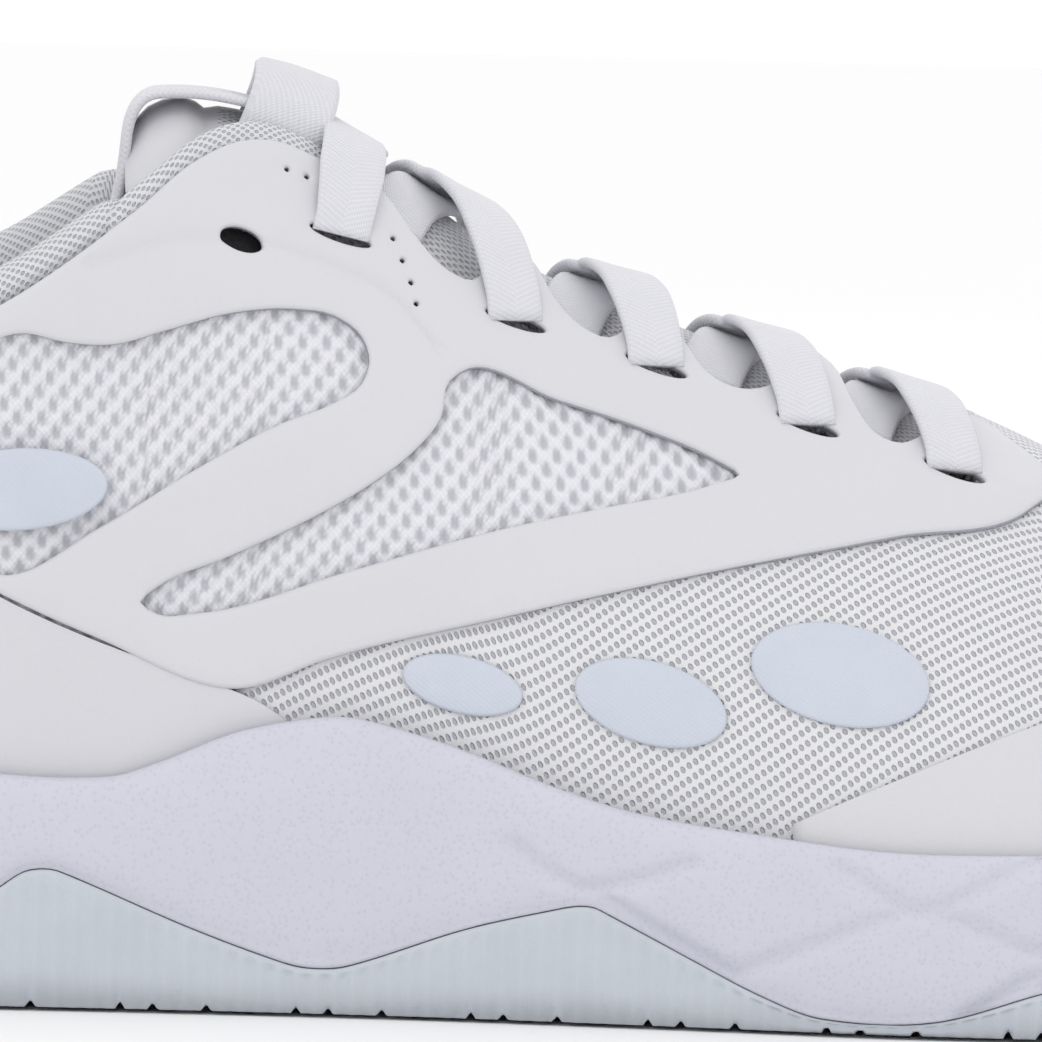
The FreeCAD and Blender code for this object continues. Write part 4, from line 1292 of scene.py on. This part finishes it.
def make_sockliner():
    a = sole_places(2.0)
    x_of = station(np.full(len(a), -1.0), a)[0]
    bottom = smooth(FEATHER, x_of)

    def profile(side):
        return [(np.full(len(a), -4.2), bottom + 0.15), (np.full(len(a), -3.6), bottom + 0.9),
                (np.full(len(a), -3.5), bottom + 2.6), (np.full(len(a), -3.7), bottom + 4.3),
                (np.full(len(a), -4.4), bottom + 4.75), (np.full(len(a), -6.5), bottom + 4.5)]

    rings = sole_ring(a, profile, 27)
    liner = loft("sockliner_cushion", rings, LINING, rings[..., :2], cap=False)
    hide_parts("sockliner_rear", "sockliner_front")
    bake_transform(liner)


def dress_cad_nodes():
    """Materials for the parts whose CAD shape stays."""
    looks = {"strobel_board_rear": BOARD_LOOK, "strobel_board_front": BOARD_LOOK, "heel_counter": STIFF,
             "toe_puff": STIFF, "aglet_lateral": TIP, "aglet_medial": TIP}
    for name, look in looks.items():
        node = bpy.data.objects[name]
        node.data.materials.clear()
        node.data.materials.append(look)


# ---------------------------------------------------------------- camera, light and floor
WORLD_STRENGTH = 1.05
FLOOR_HALF, FLOOR_DROP, FLOOR_TONE = 4, 0.0005, 0.93
LAMP_AIM = (0, 0, 0.05)
LAMPS = [("key", (-0.5, -0.9, 1.1), 1.6, 0.5), ("fill", (0.9, -0.8, 0.5), 0.4, 0.9),
         ("rear", (0.2, 1.1, 0.9), 0.8, 0.9)]


def make_stage():
    """A bright room, a pale floor just under the shoe, and three soft lamps: name, place, power and size."""
    world = bpy.data.worlds.new("studio")
    bpy.context.scene.world = world
    bpy.context.scene.view_settings.view_transform = "Standard"
    world.use_nodes = True
    background = world.node_tree.nodes["Background"]
    background.inputs["Color"].default_value = (1, 1, 1, 1)
    background.inputs["Strength"].default_value = WORLD_STRENGTH
    corners = [(x * FLOOR_HALF, y * FLOOR_HALF, -FLOOR_DROP) for x, y in ((-1, -1), (1, -1), (1, 1), (-1, 1))]
    mesh = bpy.data.meshes.new("floor")
    mesh.from_pydata(corners, [], [(0, 1, 2, 3)])
    floor = bpy.data.objects.new("floor", mesh)
    bpy.context.collection.objects.link(floor)
    look = bpy.data.materials.new("floor_paint")
    look.use_nodes = True
    paint = look.node_tree.nodes["Principled BSDF"]
    paint.inputs["Base Color"].default_value = (FLOOR_TONE, FLOOR_TONE, FLOOR_TONE, 1)
    paint.inputs["Roughness"].default_value = 0.9
    mesh.materials.append(look)
    for name, place, power, size in LAMPS:
        data = bpy.data.lights.new(name, "AREA")
        data.energy = power
        data.size = size
        lamp = bpy.data.objects.new(name, data)
        lamp.location = place
        lamp.rotation_euler = (Vector(LAMP_AIM) - Vector(place)).to_track_quat("-Z", "Y").to_euler()
        bpy.context.collection.objects.link(lamp)


CAMERA_AIM = (-0.0145, -0.038, 0.061)
CAMERA_ELEVATION, CAMERA_YAW, CAMERA_ROLL = 4.0, -2.5, 1.5
CAMERA_DISTANCE, VIEW_WIDTH, SENSOR_MM = 1.4, 0.1271, 36


def make_camera():
    """The photograph's view: from the outer side, a little above."""
    data = bpy.data.cameras.new("camera")
    data.sensor_width = SENSOR_MM
    data.lens = SENSOR_MM * CAMERA_DISTANCE / VIEW_WIDTH
    data.clip_start = 0.05
    camera = bpy.data.objects.new("camera", data)
    elevation, yaw = math.radians(CAMERA_ELEVATION), math.radians(CAMERA_YAW)
    aim = Vector(CAMERA_AIM)
    level = math.cos(elevation)
    away = Vector((math.sin(yaw) * level, -math.cos(yaw) * level, math.sin(elevation)))
    camera.location = aim + away * CAMERA_DISTANCE
    camera.rotation_euler = (-away).to_track_quat("-Z", "Y").to_euler()
    camera.rotation_euler.rotate_axis("Z", math.radians(CAMERA_ROLL))
    bpy.context.collection.objects.link(camera)
    bpy.context.scene.camera = camera


make_camera()
make_stage()
for one_side in (LATERAL, MEDIAL):
    make_lace_end(one_side)
make_vamp()
for one_side in (LATERAL, MEDIAL):
    make_quarter(one_side)
    make_cage(one_side)
    make_ovals(one_side)
make_heel_panel()
make_toe_guard()
make_collar()
make_tongue()
make_keeper()
make_laces()
make_midsole()
make_outsole()
make_sockliner()
dress_cad_nodes()
